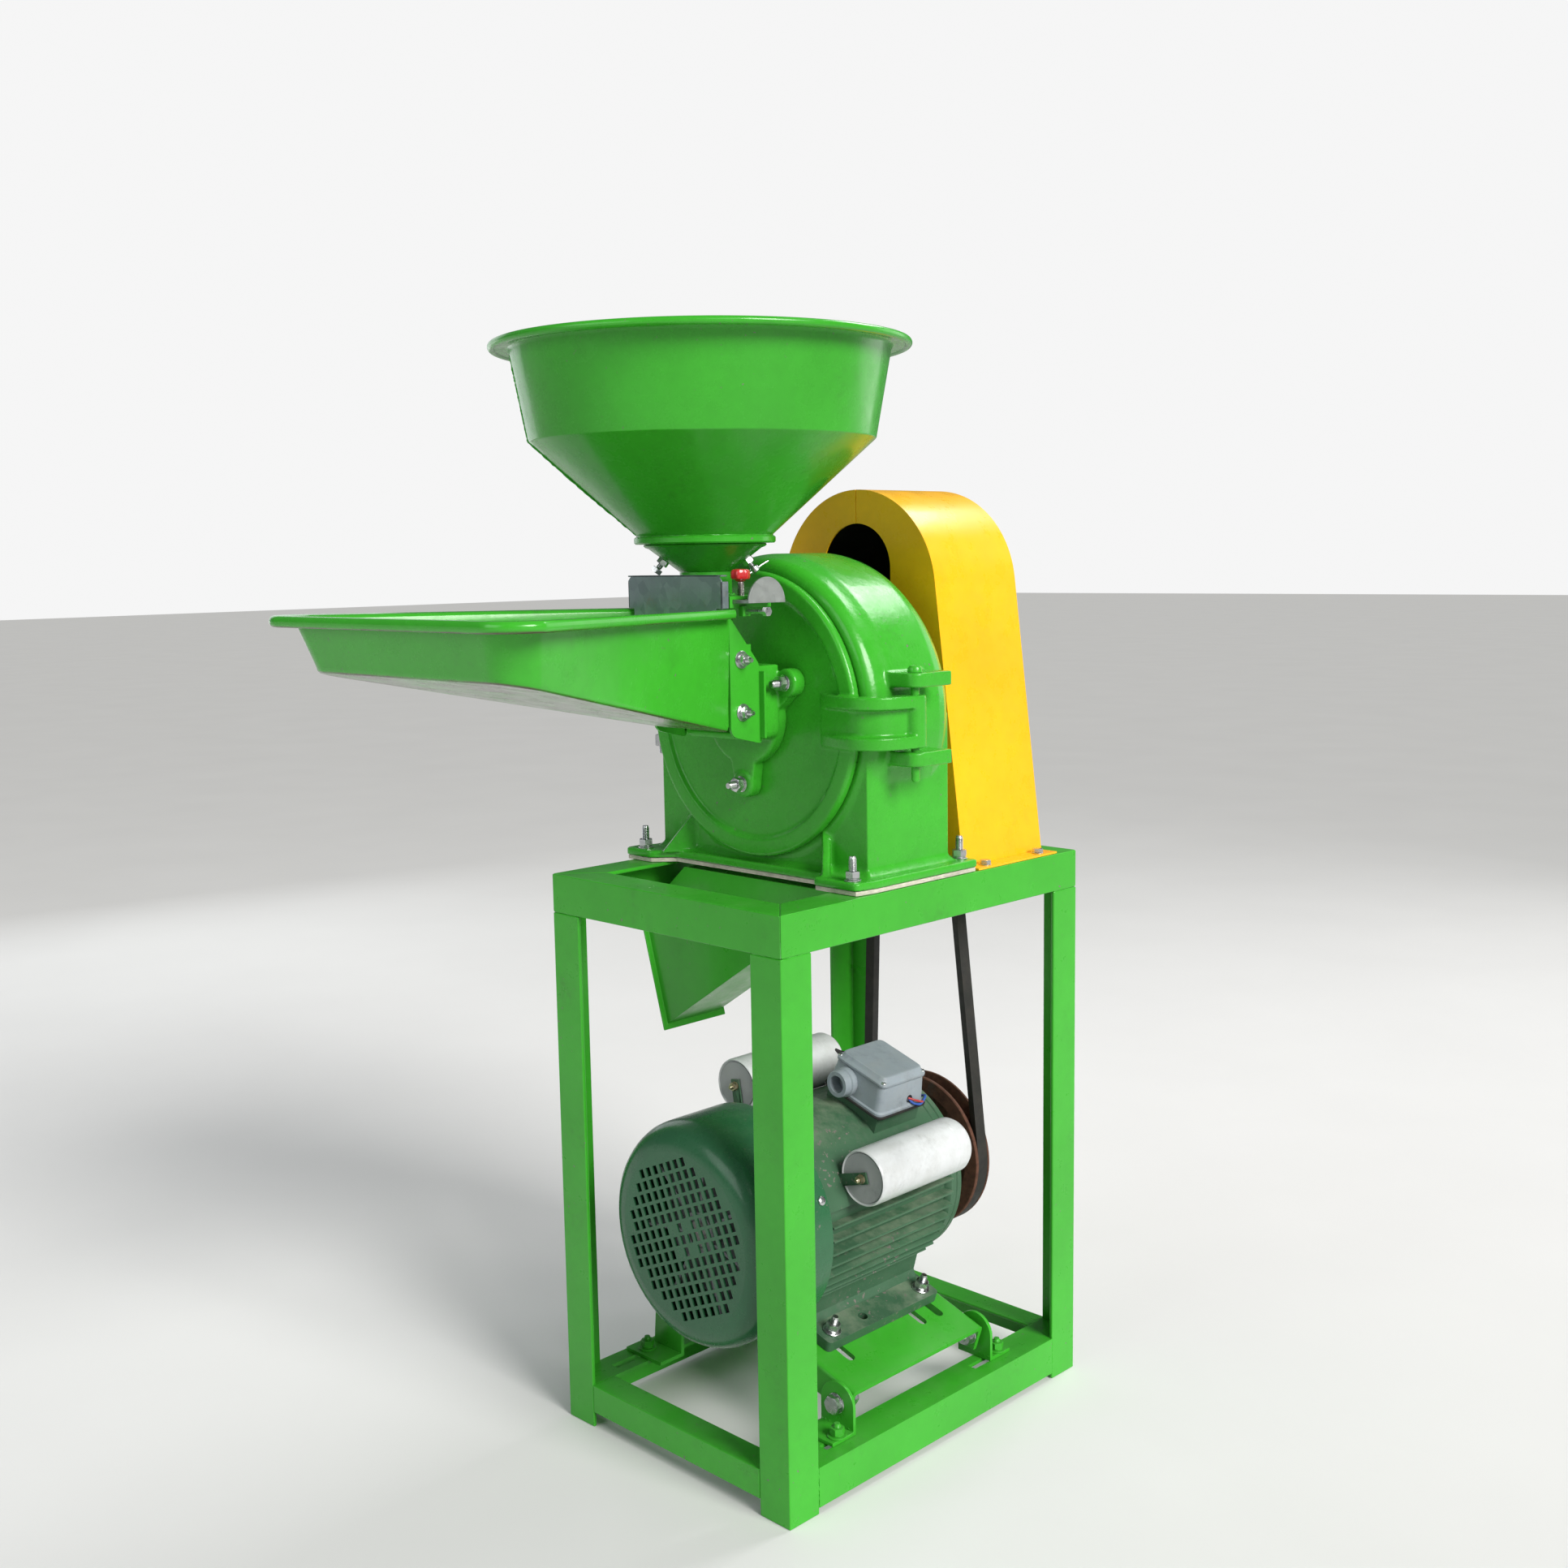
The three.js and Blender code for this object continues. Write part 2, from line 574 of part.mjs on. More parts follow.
function hopper() {
  const { bottom, neck, shoulder, drum, lip, top } = HOPPER;
  const wall = 2;
  const profile = [
    [50, bottom], [68, bottom], [68, bottom + 6.8], [neck, bottom + 6.8], [shoulder, 1015], [drum, 1100],
    [lip, 1100], [lip, top], [drum - wall, top], [shoulder - wall, 1016], [neck - wall, bottom + 8],
    [50, bottom + 6.8], [50, bottom],
  ];
  return turned("z", profile, 0, FEED_Y, 56);
}

function addDoor(group) {
  add(group, "mill_door", millDoor(), greenPaint);
  add(group, "fixed_claw_disc", fixedClawDisc(), darkIron);
  add(group, "feed_spout", feedSpout(), greenPaint);
  add(group, "cheek_right", cheek(1), greenPaint);
  add(group, "cheek_left", cheek(-1), greenPaint);
  add(group, "feed_tray", feedTray(), greenPaint);
  add(group, "tray_guard", trayGuard(), steel);
  add(group, "gate_box", gateBox(), greenPaint);
  add(group, "slide_gate", slideGate(), steel);
  add(group, "gate_knob", gateKnob(), redPlastic);
  add(group, "funnel", funnel(), greenPaint);
  add(group, "hopper", hopper(), greenPaint);
}

// The swing bolt hangs from its pin; its nut is run back far enough to swing over the door's lug.
function addClamp(group) {
  const { x, y, z, shank } = CLAMP;
  const eye = cut(
    join(bar("x", 8, [x - 4, x + 4], y, z, 20), bar("z", shank, [z - 52, z], x, y, 16)),
    bar("x", 3.3, [x - 5, x + 5], y, z, 12),
  );
  const nut = cut(
    bar("z", 8, [z - 44, z - 32], x, y, 6),
    bar("z", shank + GAP, [z - 60, z - 20], x, y, 16),
  );
  add(group, "clamp_bolt", eye, steel);
  add(group, "clamp_nut", nut, steel);
}

// ---- Rotor ----

function rotorDisc() {
  return cut(
    join(
      bar("y", 118, [-34, -24], 0, SHAFT_Z, 40),
      bar("y", 28, [-25, 8], 0, SHAFT_Z),
      ...clawRing(6, 0, 107, [-74, -33], 14),
      ...clawRing(6, 0.3, 70, [-70, -33], 11),
    ),
    bar("y", 15 + GAP, [-40, 10], 0, SHAFT_Z),
  );
}

function pulley(radius, bore, a, b) {
  const { front, back } = PULLEY;
  const root = radius - BELT.thickness - GAP;
  const cheekWidth = BELT.front - GAP - front;
  const profile = [
    [bore, front], [radius, front], [radius, front + cheekWidth], [root, front + cheekWidth],
    [root, back - cheekWidth], [radius, back - cheekWidth], [radius, back], [bore, back], [bore, front],
  ];
  return turned("y", profile, a, b, 36);
}

function addRotor(group) {
  const shaft = [[0, -46], [12, -46], [12, -36], [15, -36], [15, 158], [0, 158]];
  add(group, "rotor_shaft", turned("y", shaft, 0, SHAFT_Z, 20), steel);
  add(group, "rotor_disc", rotorDisc(), darkIron);
  add(group, "rotor_pulley", pulley(PULLEY.small, 15 + GAP, 0, SHAFT_Z), darkIron);
}

// One run of the belt's outline: two arcs joined by their outer tangents.
function beltLoop(inward) {
  const [small, large] = [PULLEY.small - inward, PULLEY.large - inward];
  const rise = SHAFT_Z - MOTOR.z;
  const heading = Math.atan2(rise, -MOTOR.x);
  const spread = Math.acos((large - small) / Math.hypot(rise, MOTOR.x));
  const loop = new THREE.Shape();
  loop.absarc(0, SHAFT_Z, small, heading - spread, heading + spread, false);
  loop.absarc(MOTOR.x, MOTOR.z, large, heading + spread, heading - spread + 2 * Math.PI, false);
  return loop;
}

function driveBelt() {
  const loop = beltLoop(0);
  loop.holes.push(beltLoop(BELT.thickness));
  return slab("xz", loop, [BELT.front, BELT.back], 14);
}

// ---- Motor brackets on the sills ----

// An upright plate with a foot that points away from the motor plate.
function bracket(shape, plateY, footY, footX) {
  const low = SILL_TOP + GAP;
  return join(slab("xz", shape, plateY), block(footX, footY, [low, low + 4]));
}

function hingeBracket(plateY, footY) {
  const low = SILL_TOP + GAP;
  const shape = new THREE.Shape();
  shape.moveTo(104, low);
  shape.lineTo(148, low);
  shape.absarc(PLATE_HINGE.x, PLATE_HINGE.z, 22, 0, Math.PI, false);
  const hole = bar("y", BOLT.hole, [plateY[0] - 1, plateY[1] + 1], PLATE_HINGE.x, PLATE_HINGE.z, 16);
  return cut(bracket(shape, plateY, footY, [104, 148]), hole);
}

function inPlate(x, z) {
  const tilt = rad(MOTOR.tilt);
  return [
    MOTOR.x + x * Math.cos(tilt) + z * Math.sin(tilt),
    MOTOR.z - x * Math.sin(tilt) + z * Math.cos(tilt),
  ];
}

const TENSION = { x: -105, z: -128.7, travel: 12 }; // tension bolt from the motor axis, along and off the plate

// The far edge of the plate is held in slots that let the plate swing about its hinge.
function tensionBracket(plateY, footY) {
  const low = SILL_TOP + GAP;
  const ends = [-1, 1].map((way) => inPlate(TENSION.x, TENSION.z + way * TENSION.travel));
  const shape = outline([[-148, low], [-104, low], [-100, 180], [-136, 180]]);
  const [[x0, z0], [x1, z1]] = ends;
  const run = Math.hypot(x1 - x0, z1 - z0);
  const [nx, nz] = [((z0 - z1) / run) * BOLT.hole, ((x1 - x0) / run) * BOLT.hole];
  const reach = [plateY[0] - 1, plateY[1] + 1];
  const slot = outline([[x0 - nx, z0 - nz], [x1 - nx, z1 - nz], [x1 + nx, z1 + nz], [x0 + nx, z0 + nz]]);
  return cut(
    bracket(shape, plateY, footY, [-160, -104]),
    slab("xz", slot, reach),
    ...ends.map(([x, z]) => bar("y", BOLT.hole, reach, x, z, 16)),
  );
}

function addBrackets(group) {
  add(group, "hinge_bracket_front", hingeBracket([-120, -116], [-150, -116]), greenPaint);
  add(group, "hinge_bracket_rear", hingeBracket([97, 101], [97, 131]), greenPaint);
  add(group, "tension_bracket_front", tensionBracket([-120, -116], [-150, -116]), greenPaint);
  add(group, "tension_bracket_rear", tensionBracket([97, 101], [97, 131]), greenPaint);
  for (const [end, way, face, nut] of [["front", -1, -120, -107], ["rear", 1, 101, 88]]) {
    const bolt = crossBolt(way, face, nut, PLATE_HINGE.x, PLATE_HINGE.z);
    add(group, `hinge_bolt_${end}`, bolt, steel);
  }
}

// A hexagon bolt along Y through a bracket and the plate's flange, with its nut inside the flange.
function crossBolt(way, face, inside, x, z) {
  const at = (a, b) => [a, b].sort((p, q) => p - q);
  return join(
    bar("y", BOLT.shank, at(face + way * 3, inside - way * 9), x, z, 16),
    bar("y", BOLT.head, at(face + way * GAP, face + way * 7), x, z, 6),
    bar("y", BOLT.head, at(inside - way * GAP, inside - way * 8), x, z, 6),
  );
}

// ---- Motor, in its own frame: origin on the motor axis, +Z square to the plate ----

const PLATE_TOP = -MOTOR.height;

function motorPlate(hinge) {
  const { left, right, front, back, wall, flange } = PLATE;
  const bottom = PLATE_TOP - wall;
  const flangeAt = (reach) => block([left, right], reach, [bottom - flange, bottom + 1]);
  const footSlots = [-75, 38, 65].flatMap((y) =>
    [-1, 1].map((side) => {
      const reach = [84, 130].map((x) => side * x).sort((a, b) => a - b);
      return block(reach, [y - 5, y + 5], [bottom - 1, PLATE_TOP + 1]);
    }),
  );
  const holes = [hinge, [TENSION.x, TENSION.z]].map(([x, z]) => bar("y", BOLT.hole, [front - 1, back + 1], x, z, 16));
  return cut(
    join(
      block([left, right], [front, back], [bottom, PLATE_TOP]),
      flangeAt([front, front + wall]),
      flangeAt([back - wall, back]),
    ),
    ...footSlots,
    ...holes,
  );
}

function motorFrame() {
  const { halfGauge, front, back } = MOTOR;
  const feet = [-1, 1].flatMap((side) => {
    const at = (a, b) => [a, b].map((x) => side * x).sort((p, q) => p - q);
    return [
      block(at(58, 109.5), [-92, back], [PLATE_TOP + GAP, PLATE_TOP + 11.5]),
      block(at(58, 74), [-88, back - 4], [PLATE_TOP + 11, -60]),
    ];
  });
  const holes = [-1, 1].flatMap((side) =>
    [-75, 65].map((y) => bar("z", 6, [PLATE_TOP - 1, PLATE_TOP + 13], side * halfGauge, y, 16)),
  );
  const boxNeck = block([-28, 43], [-18, 48], [80, 109.7]);
  const fanEnd = ring("y", 18, 98.5, [front - 10, front + 1], 0, 0, 40);
  return cut(
    join(bar("y", 98.5, [front, back], 0, 0, 40), fanEnd, boxNeck, ...feet),
    bar("y", 84, [front, back + 1], 0, 0, 40),
    ...holes,
  );
}

function fanCowl() {
  const { front } = MOTOR;
  const profile = [
    [0, -222], [88, -222], [100, -218.5], [109, -210], [114, -197], [114, front + 8], [112, front + 8],
    [112, -196], [107.5, -208.5], [99, -216.5], [87, -220], [0, -220],
  ];
  const bars = Array.from({ length: 9 }, (_, i) => {
    const x = (i - 4) * 18;
    const half = Math.sqrt(80 * 80 - x * x);
    return block([x - 3, x + 3], [-223, -219], [-half, half]);
  });
  const slots = bars.map((slot) => cut(slot, bar("y", 14, [-224, -218], 0, 0)));
  return cut(turned("y", profile, 0, 0, 48), ...slots);
}

function terminalBox() {
  const at = ([x0, x1], [y0, y1], z) => [[x0, y0, z], [x1, y0, z], [x1, y1, z], [x0, y1, z]];
  const outer = loft(at([-32, 47], [-22, 52], 110), at([-27, 40], [-18, 48], 141));
  const inner = loft(at([-28, 43], [-18, 48], 113.5), at([-24, 37], [-15, 45], 142));
  const gland = bar("y", 14, [-34, -15], -6, 124, 20);
  return cut(join(outer, gland), inner, bar("y", 10, [-35, -10], -6, 124, 16));
}

function terminalLid() {
  const at = ([x0, x1], [y0, y1], z) => [[x0, y0, z], [x1, y0, z], [x1, y1, z], [x0, y1, z]];
  return join(
    loft(at([-28, 41], [-19, 49], 141 + GAP), at([-27.5, 40.5], [-18.5, 48.5], 144)),
    loft(at([-25, 38], [-16, 46], 143), at([-23, 36], [-14, 44], 150)),
  );
}

function capacitor(side) {
  const { x, z, radius, front, back } = CAPACITOR;
  return bar("y", radius, [front, back], side * x, z, 28);
}

function motorFan() {
  const blades = Array.from({ length: 7 }, (_, i) => {
    const blade = new THREE.BoxGeometry(66, 34, 3);
    blade.translate(51, -183, 0).rotateY((i * 2 * Math.PI) / 7);
    return solid(blade);
  });
  return cut(
    join(bar("y", 22, [-202, -160], 0, 0), bar("y", 84, [-166, -163], 0, 0, 28), ...blades),
    bar("y", 14 + GAP, [-204, -158], 0, 0),
  );
}

function motorShaft() {
  const profile = [
    [0, -200], [14, -200], [14, -70], [54, -70], [54, 40], [14, 40], [14, 158], [0, 158],
  ];
  return turned("y", profile, 0, 0, 24);
}

function addMotor(group) {
  const { back } = MOTOR;
  const tilt = rad(MOTOR.tilt);
  const [dx, dz] = [PLATE_HINGE.x - MOTOR.x, PLATE_HINGE.z - MOTOR.z];
  const hinge = [dx * Math.cos(tilt) - dz * Math.sin(tilt), dx * Math.sin(tilt) + dz * Math.cos(tilt)];
  add(group, "motor_plate", motorPlate(hinge), greenPaint);
  add(group, "motor_frame", motorFrame(), motorPaint);
  add(group, "motor_stator", ring("y", 55, 83.5, [-70, 40], 0, 0, 32), darkIron);
  const shield = [
    [18, back + GAP], [98.5, back + GAP], [98.5, 88], [64, 96], [40, 106], [18, 106], [18, back + GAP],
  ];
  add(group, "motor_end_shield", turned("y", shield, 0, 0, 40), motorPaint);
  add(group, "fan_cowl", fanCowl(), motorPaint);
  for (const [side, way] of [["right", 1], ["left", -1]])
    add(group, `capacitor_${side}`, capacitor(way), palePlastic);
  add(group, "terminal_box", terminalBox(), greyPlastic);
  add(group, "terminal_lid", terminalLid(), greyPlastic);
  for (const [end, way, face, nut] of [["front", -1, -120, -107], ["rear", 1, 101, 88]])
    add(group, `tension_bolt_${end}`, crossBolt(way, face, nut, TENSION.x, TENSION.z), steel);
  add(group, "motor_shaft", motorShaft(), steel);
  add(group, "motor_fan", motorFan(), greyPlastic);
  add(group, "motor_pulley", pulley(PULLEY.large, 14 + GAP, 0, 0), rustyIron);
}

// ---- Assembly ----
const mill = new THREE.Group();
mill.position.y = -CENTRE_Y;
addLegs(mill);
addTopRails(mill);
addSills(mill);
addMill(mill);
addBearings(mill);
add(mill, "belt_cover", beltCover(), yellowPaint);
add(mill, "discharge_chute", dischargeChute(), greenPaint);
addDoor(mill);
addClamp(mill);
addRotor(mill);
add(mill, "drive_belt", driveBelt(), rubber);
addBrackets(mill);

const motor = new THREE.Group();
motor.position.set(MOTOR.x, 0, MOTOR.z);
motor.rotation.y = rad(MOTOR.tilt);
addMotor(motor);
mill.add(motor);

const machine = new THREE.Group();
machine.add(mill);

export default machine;
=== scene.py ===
import json
import math
import random

import bmesh
import bpy
from mathutils import Matrix, Vector, noise


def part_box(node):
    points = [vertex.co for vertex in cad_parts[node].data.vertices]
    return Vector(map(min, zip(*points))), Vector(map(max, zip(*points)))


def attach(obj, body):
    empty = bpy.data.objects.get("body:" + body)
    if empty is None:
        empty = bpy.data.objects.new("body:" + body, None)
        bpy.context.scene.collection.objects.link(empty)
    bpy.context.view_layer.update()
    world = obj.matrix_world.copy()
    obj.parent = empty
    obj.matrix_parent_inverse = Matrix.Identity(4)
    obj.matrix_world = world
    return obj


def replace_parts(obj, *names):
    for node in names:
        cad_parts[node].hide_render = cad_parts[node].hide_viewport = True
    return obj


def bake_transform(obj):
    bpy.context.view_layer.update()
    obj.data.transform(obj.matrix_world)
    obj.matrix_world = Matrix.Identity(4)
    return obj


# Belt-driven claw mill on an angle-iron stand. Shapes are drawn in millimetres, in the stand's own
# space (middle of the footprint, floor level) or in the motor's (on its axis, square to its plate).
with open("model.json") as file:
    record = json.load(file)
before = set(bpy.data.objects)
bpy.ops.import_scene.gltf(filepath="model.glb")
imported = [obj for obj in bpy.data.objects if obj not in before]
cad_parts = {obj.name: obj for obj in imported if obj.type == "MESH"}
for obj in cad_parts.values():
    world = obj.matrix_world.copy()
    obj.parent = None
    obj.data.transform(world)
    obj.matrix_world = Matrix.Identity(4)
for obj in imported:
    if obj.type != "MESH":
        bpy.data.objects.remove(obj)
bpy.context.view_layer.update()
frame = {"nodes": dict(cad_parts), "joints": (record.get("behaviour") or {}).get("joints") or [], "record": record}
random.seed(7)

MM = 0.001
TAU = math.tau
TILT = math.radians(18)  # lean of the motor plate
JOINTS = {joint["name"]: joint for joint in frame["joints"]}
MIDDLE = (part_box("leg_front_left")[0].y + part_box("leg_back_right")[1].y) / 2
MILL = Matrix.Translation((0, MIDDLE, 0)) @ Matrix.Scale(MM, 4)
MOTOR_AXIS = JOINTS["motor_spin"]["pos_m"]
MOTOR = Matrix.Translation(MOTOR_AXIS) @ Matrix.Rotation(TILT, 4, "Y") @ Matrix.Scale(MM, 4)
VOXEL = 1.6  # grid of the castings' skins


def span(node, space=MILL):
    """Lowest and highest corner of a CAD node in one of the two drawing spaces."""
    inward = space.inverted()
    points = [inward @ v.co for v in frame["nodes"][node].data.vertices]
    return [Vector([pick(p[i] for p in points) for i in range(3)]) for pick in (min, max)]


def ranges(node, space=MILL):
    """The same box as three [low, high] pairs, one for each axis."""
    low, high = span(node, space)
    return [[low[i], high[i]] for i in range(3)]


# ---- Shapes ----


class Shape:
    """Closed surfaces: a list of points and a list of faces."""

    def __init__(self, points=(), faces=()):
        self.points = [Vector(p) for p in points]
        self.faces = [tuple(f) for f in faces]

    def __add__(self, other):
        shift = len(self.points)
        moved = [tuple(i + shift for i in face) for face in other.faces]
        return Shape(self.points + other.points, self.faces + moved)

    def moved(self, matrix):
        return Shape([matrix @ p for p in self.points], self.faces)

    def at(self, x=0.0, y=0.0, z=0.0):
        return self.moved(Matrix.Translation((x, y, z)))


def gather(shapes):
    return sum(shapes, Shape())


def aim(position, direction, spin=0.0):
    """Takes what stands on z = 0 to the given place, standing along the given direction."""
    turn = Vector(direction).to_track_quat("Z", "Y").to_matrix().to_4x4()
    return Matrix.Translation(position) @ turn @ Matrix.Rotation(spin, 4, "Z")


def loops(rings, closed=False, capped=True):
    """A skin over rings of the same number of points; closed joins the last ring to the first."""
    count = len(rings[0])
    faces = []
    for j in range(len(rings) - (0 if closed else 1)):
        a, b = j * count, ((j + 1) % len(rings)) * count
        faces += [(a + i, a + (i + 1) % count, b + (i + 1) % count, b + i) for i in range(count)]
    if capped and not closed:
        faces += [tuple(range(count))[::-1], tuple(range((len(rings) - 1) * count, len(rings) * count))]
    return Shape([p for ring in rings for p in ring], faces)


AXES = {"x": (1, 2, 0), "y": (0, 2, 1), "z": (0, 1, 2)}  # which coordinates a, b and height become


def place(axis, a, b, height):
    point = [0.0, 0.0, 0.0]
    for index, value in zip(AXES[axis], (a, b, height)):
        point[index] = value
    return point


def lathe(profile, axis="z", centre=(0.0, 0.0), sides=96):
    """A turned shape from [radius, height] points; a profile off the axis closes on itself."""
    rings = []
    for radius, height in profile:
        turn = [i * TAU / sides for i in range(sides)]
        rings.append([
            place(axis, centre[0] + radius * math.cos(t), centre[1] + radius * math.sin(t), height)
            for t in turn
        ])
    on_axis = profile[0][0] == 0 and profile[-1][0] == 0
    return loops(rings, closed=not on_axis, capped=False)


def rod(axis, radius, reach, centre=(0.0, 0.0), sides=32, chamfer=0.4):
    low, high = reach
    profile = [(0, low), (radius - chamfer, low), (radius, low + chamfer), (radius, high - chamfer)]
    return lathe(profile + [(radius - chamfer, high), (0, high)], axis, centre, sides)


def pipe(axis, inner, outer, reach, centre=(0.0, 0.0), sides=64):
    low, high = reach
    return lathe([(inner, low), (outer, low), (outer, high), (inner, high)], axis, centre, sides)


def prism(axis, outline, reach):
    return loops([[place(axis, a, b, height) for a, b in outline] for height in reach])


def oblong(xs, ys):
    return [(xs[0], ys[0]), (xs[1], ys[0]), (xs[1], ys[1]), (xs[0], ys[1])]


def block(xs, ys, zs):
    return prism("z", oblong(xs, ys), zs)


def frustum(lower, upper, zs):
    """A block whose top and bottom are different rectangles, each ((x, x), (y, y))."""
    return loops([[(x, y, z) for x, y in oblong(*sides)] for sides, z in zip((lower, upper), zs)])


def arc(centre, radius, start, end, steps=16):
    turns = [math.radians(start + (end - start) * i / steps) for i in range(steps + 1)]
    return [(centre[0] + radius * math.cos(t), centre[1] + radius * math.sin(t)) for t in turns]


def rounded(outline, radius, steps=5):
    """The outline with each corner cut back by the radius and turned in a smooth curve."""
    points = [Vector(p) for p in outline]
    radii = radius if isinstance(radius, list) else [radius] * len(points)
    result = []
    for i, corner in enumerate(points):
        before, after = points[i - 1] - corner, points[(i + 1) % len(points)] - corner
        if radii[i] == 0:
            result.append(tuple(corner))
            continue
        start = corner + before.normalized() * min(radii[i], before.length * 0.45)
        end = corner + after.normalized() * min(radii[i], after.length * 0.45)
        for k in range(steps + 1):
            t = k / steps
            result.append(tuple(start * (1 - t) ** 2 + corner * 2 * t * (1 - t) + end * t**2))
    return result


def spline(points, steps=8):
    """A smooth curve through the points, of two or three coordinates each."""
    ends = [Vector(p) for p in points]
    ends = [2 * ends[0] - ends[1]] + ends + [2 * ends[-1] - ends[-2]]
    result = []
    for i in range(1, len(ends) - 2):
        a, b, c, d = ends[i - 1 : i + 3]
        for k in range(steps):
            t = k / steps
            result.append(
                tuple(0.5 * (2 * b + (c - a) * t + (2 * a - 5 * b + 4 * c - d) * t**2
                             + (3 * b - a - 3 * c + d) * t**3))
            )
    return result + [tuple(ends[-2])]


def tube(path, radius, sides=14, wobble=0.0, pitch=4.0):
    """A round bar along a path; wobble roughens it, as on a weld."""
    points = [Vector(p) for p in path]
    rings = []
    across = None
    for i, point in enumerate(points):
        along = (points[min(i + 1, len(points) - 1)] - points[max(i - 1, 0)]).normalized()
        if across is None:
            across = along.orthogonal().normalized()
        across = (across - along * across.dot(along)).normalized()
        third = along.cross(across)
        ring = []
        for k in range(sides):
            turn = k * TAU / sides
            direction = across * math.cos(turn) + third * math.sin(turn)
            swell = wobble * noise.noise((point + direction * radius) / pitch)
            ring.append(point + direction * (radius + swell))
        rings.append(ring)
    return loops(rings)


def bead(start, end, radius=2.6):
    """A weld bead: a rippled bar half sunk in the joint."""
    start, end = Vector(start), Vector(end)
    count = max(3, int((end - start).length / 1.6))
    return tube([start.lerp(end, i / count) for i in range(count + 1)], radius, 10, 1.1, 2.6)


# ---- Solid work ----


def worked(shape, change):
    """The shape after a stack of modifiers, added by change(object)."""
    mesh = new_mesh("work", shape.points, shape.faces)
    tool = added("work", mesh)
    change(tool)
    made = tool.evaluated_get(bpy.context.evaluated_depsgraph_get()).to_mesh()
    result = Shape([v.co.copy() for v in made.vertices], [tuple(p.vertices) for p in made.polygons])
    bpy.data.objects.remove(tool)
    bpy.data.meshes.remove(mesh)
    return result


def new_mesh(name, points, faces, gap=1e-4):
    """A mesh with doubled points joined and all faces turned outwards."""
    mesh = bpy.data.meshes.new(name)
    mesh.from_pydata(points, [], faces)
    work = bmesh.new()
    work.from_mesh(mesh)
    bmesh.ops.remove_doubles(work, verts=work.verts, dist=gap)
    bmesh.ops.dissolve_degenerate(work, edges=work.edges, dist=gap)
    bmesh.ops.recalc_face_normals(work, faces=work.faces)
    work.to_mesh(mesh)
    work.free()
    return mesh


def added(name, data):
    """A new object in the scene."""
    made = bpy.data.objects.new(name, data)
    bpy.context.scene.collection.objects.link(made)
    return made


def combine(shape, other, operation):
    mesh = new_mesh("cutter", other.points, other.faces)
    cutter = added("cutter", mesh)

    def change(tool):
        boolean = tool.modifiers.new("cut", "BOOLEAN")
        boolean.operation = operation
        boolean.solver = "EXACT"
        boolean.use_self = True
        boolean.object = cutter

    result = worked(shape, change)
    bpy.data.objects.remove(cutter)
    bpy.data.meshes.remove(mesh)
    return result


def carve(shape, *cutters):
    return combine(shape, gather(cutters), "DIFFERENCE")


def cast(shape, voxel=VOXEL, smoothing=6):
    """One skin round overlapping solids, with the soft edges and fillets of a casting."""

    def change(tool):
        skin = tool.modifiers.new("skin", "REMESH")
        skin.mode = "VOXEL"
        skin.voxel_size = voxel
        soften = tool.modifiers.new("soften", "SMOOTH")
        soften.factor = 0.5
        soften.iterations = smoothing

    return worked(shape, change)


# ---- Pieces ----


def finish_piece(piece, material, body, crease):
    mesh = piece.data
    mesh.materials.clear()
    mesh.materials.append(material)
    mesh.shade_smooth()
    mesh.set_sharp_from_angle(angle=math.radians(crease))
    even = piece.modifiers.new("even", "WEIGHTED_NORMAL")
    even.keep_sharp = True
    if body:
        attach(piece, body)
    return piece


def bevelled(piece, width, segments, limit=30):
    """Rounds the piece's edges and fixes the result in its mesh."""
    edge = piece.modifiers.new("edge", "BEVEL")
    edge.width = width * MM
    edge.segments = segments
    edge.limit_method = "ANGLE"
    edge.angle_limit = math.radians(limit)
    edge.use_clamp_overlap = True
    depsgraph = bpy.context.evaluated_depsgraph_get()
    made = bpy.data.meshes.new_from_object(piece.evaluated_get(depsgraph))
    piece.modifiers.clear()
    piece.data = made


def part(name, shape, paint, body, replaces=(), space=MILL, edge=0.0, segments=2, crease=40):
    """A finished piece from a shape; paint is a [material, slot name] pair, and only the material is used."""
    piece = added(name, new_mesh(name, [space @ p for p in shape.points], shape.faces, 1e-6))
    if edge:
        bevelled(piece, edge, segments)
    finish_piece(piece, paint[0], body, crease)
    if replaces:
        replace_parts(piece, *replaces)
    return piece


BODY_OF = {node: body for body, nodes in frame["record"]["behaviour"]["bodies"].items() for node in nodes}


def refined(node, paint, edge=0.8, segments=2, crease=40):
    """The CAD shape of a node with its edges rounded."""
    source = frame["nodes"][node].data
    points = [v.co.copy() for v in source.vertices]
    mesh = new_mesh(node, points, [tuple(p.vertices) for p in source.polygons], 1e-6)
    work = bmesh.new()
    work.from_mesh(mesh)
    flat = math.radians(1)
    bmesh.ops.dissolve_limit(work, angle_limit=flat, verts=work.verts, edges=work.edges)
    work.to_mesh(mesh)
    work.free()
    piece = added(node + "_fine", mesh)
    bevelled(piece, edge, segments)
    finish_piece(piece, paint[0], BODY_OF[node], crease)
    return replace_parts(piece, node)


# ---- Fasteners, each standing on z = 0 ----

ACROSS = {4: 7, 5: 8, 6: 10, 8: 13, 10: 17}  # hexagon across its flats for each thread


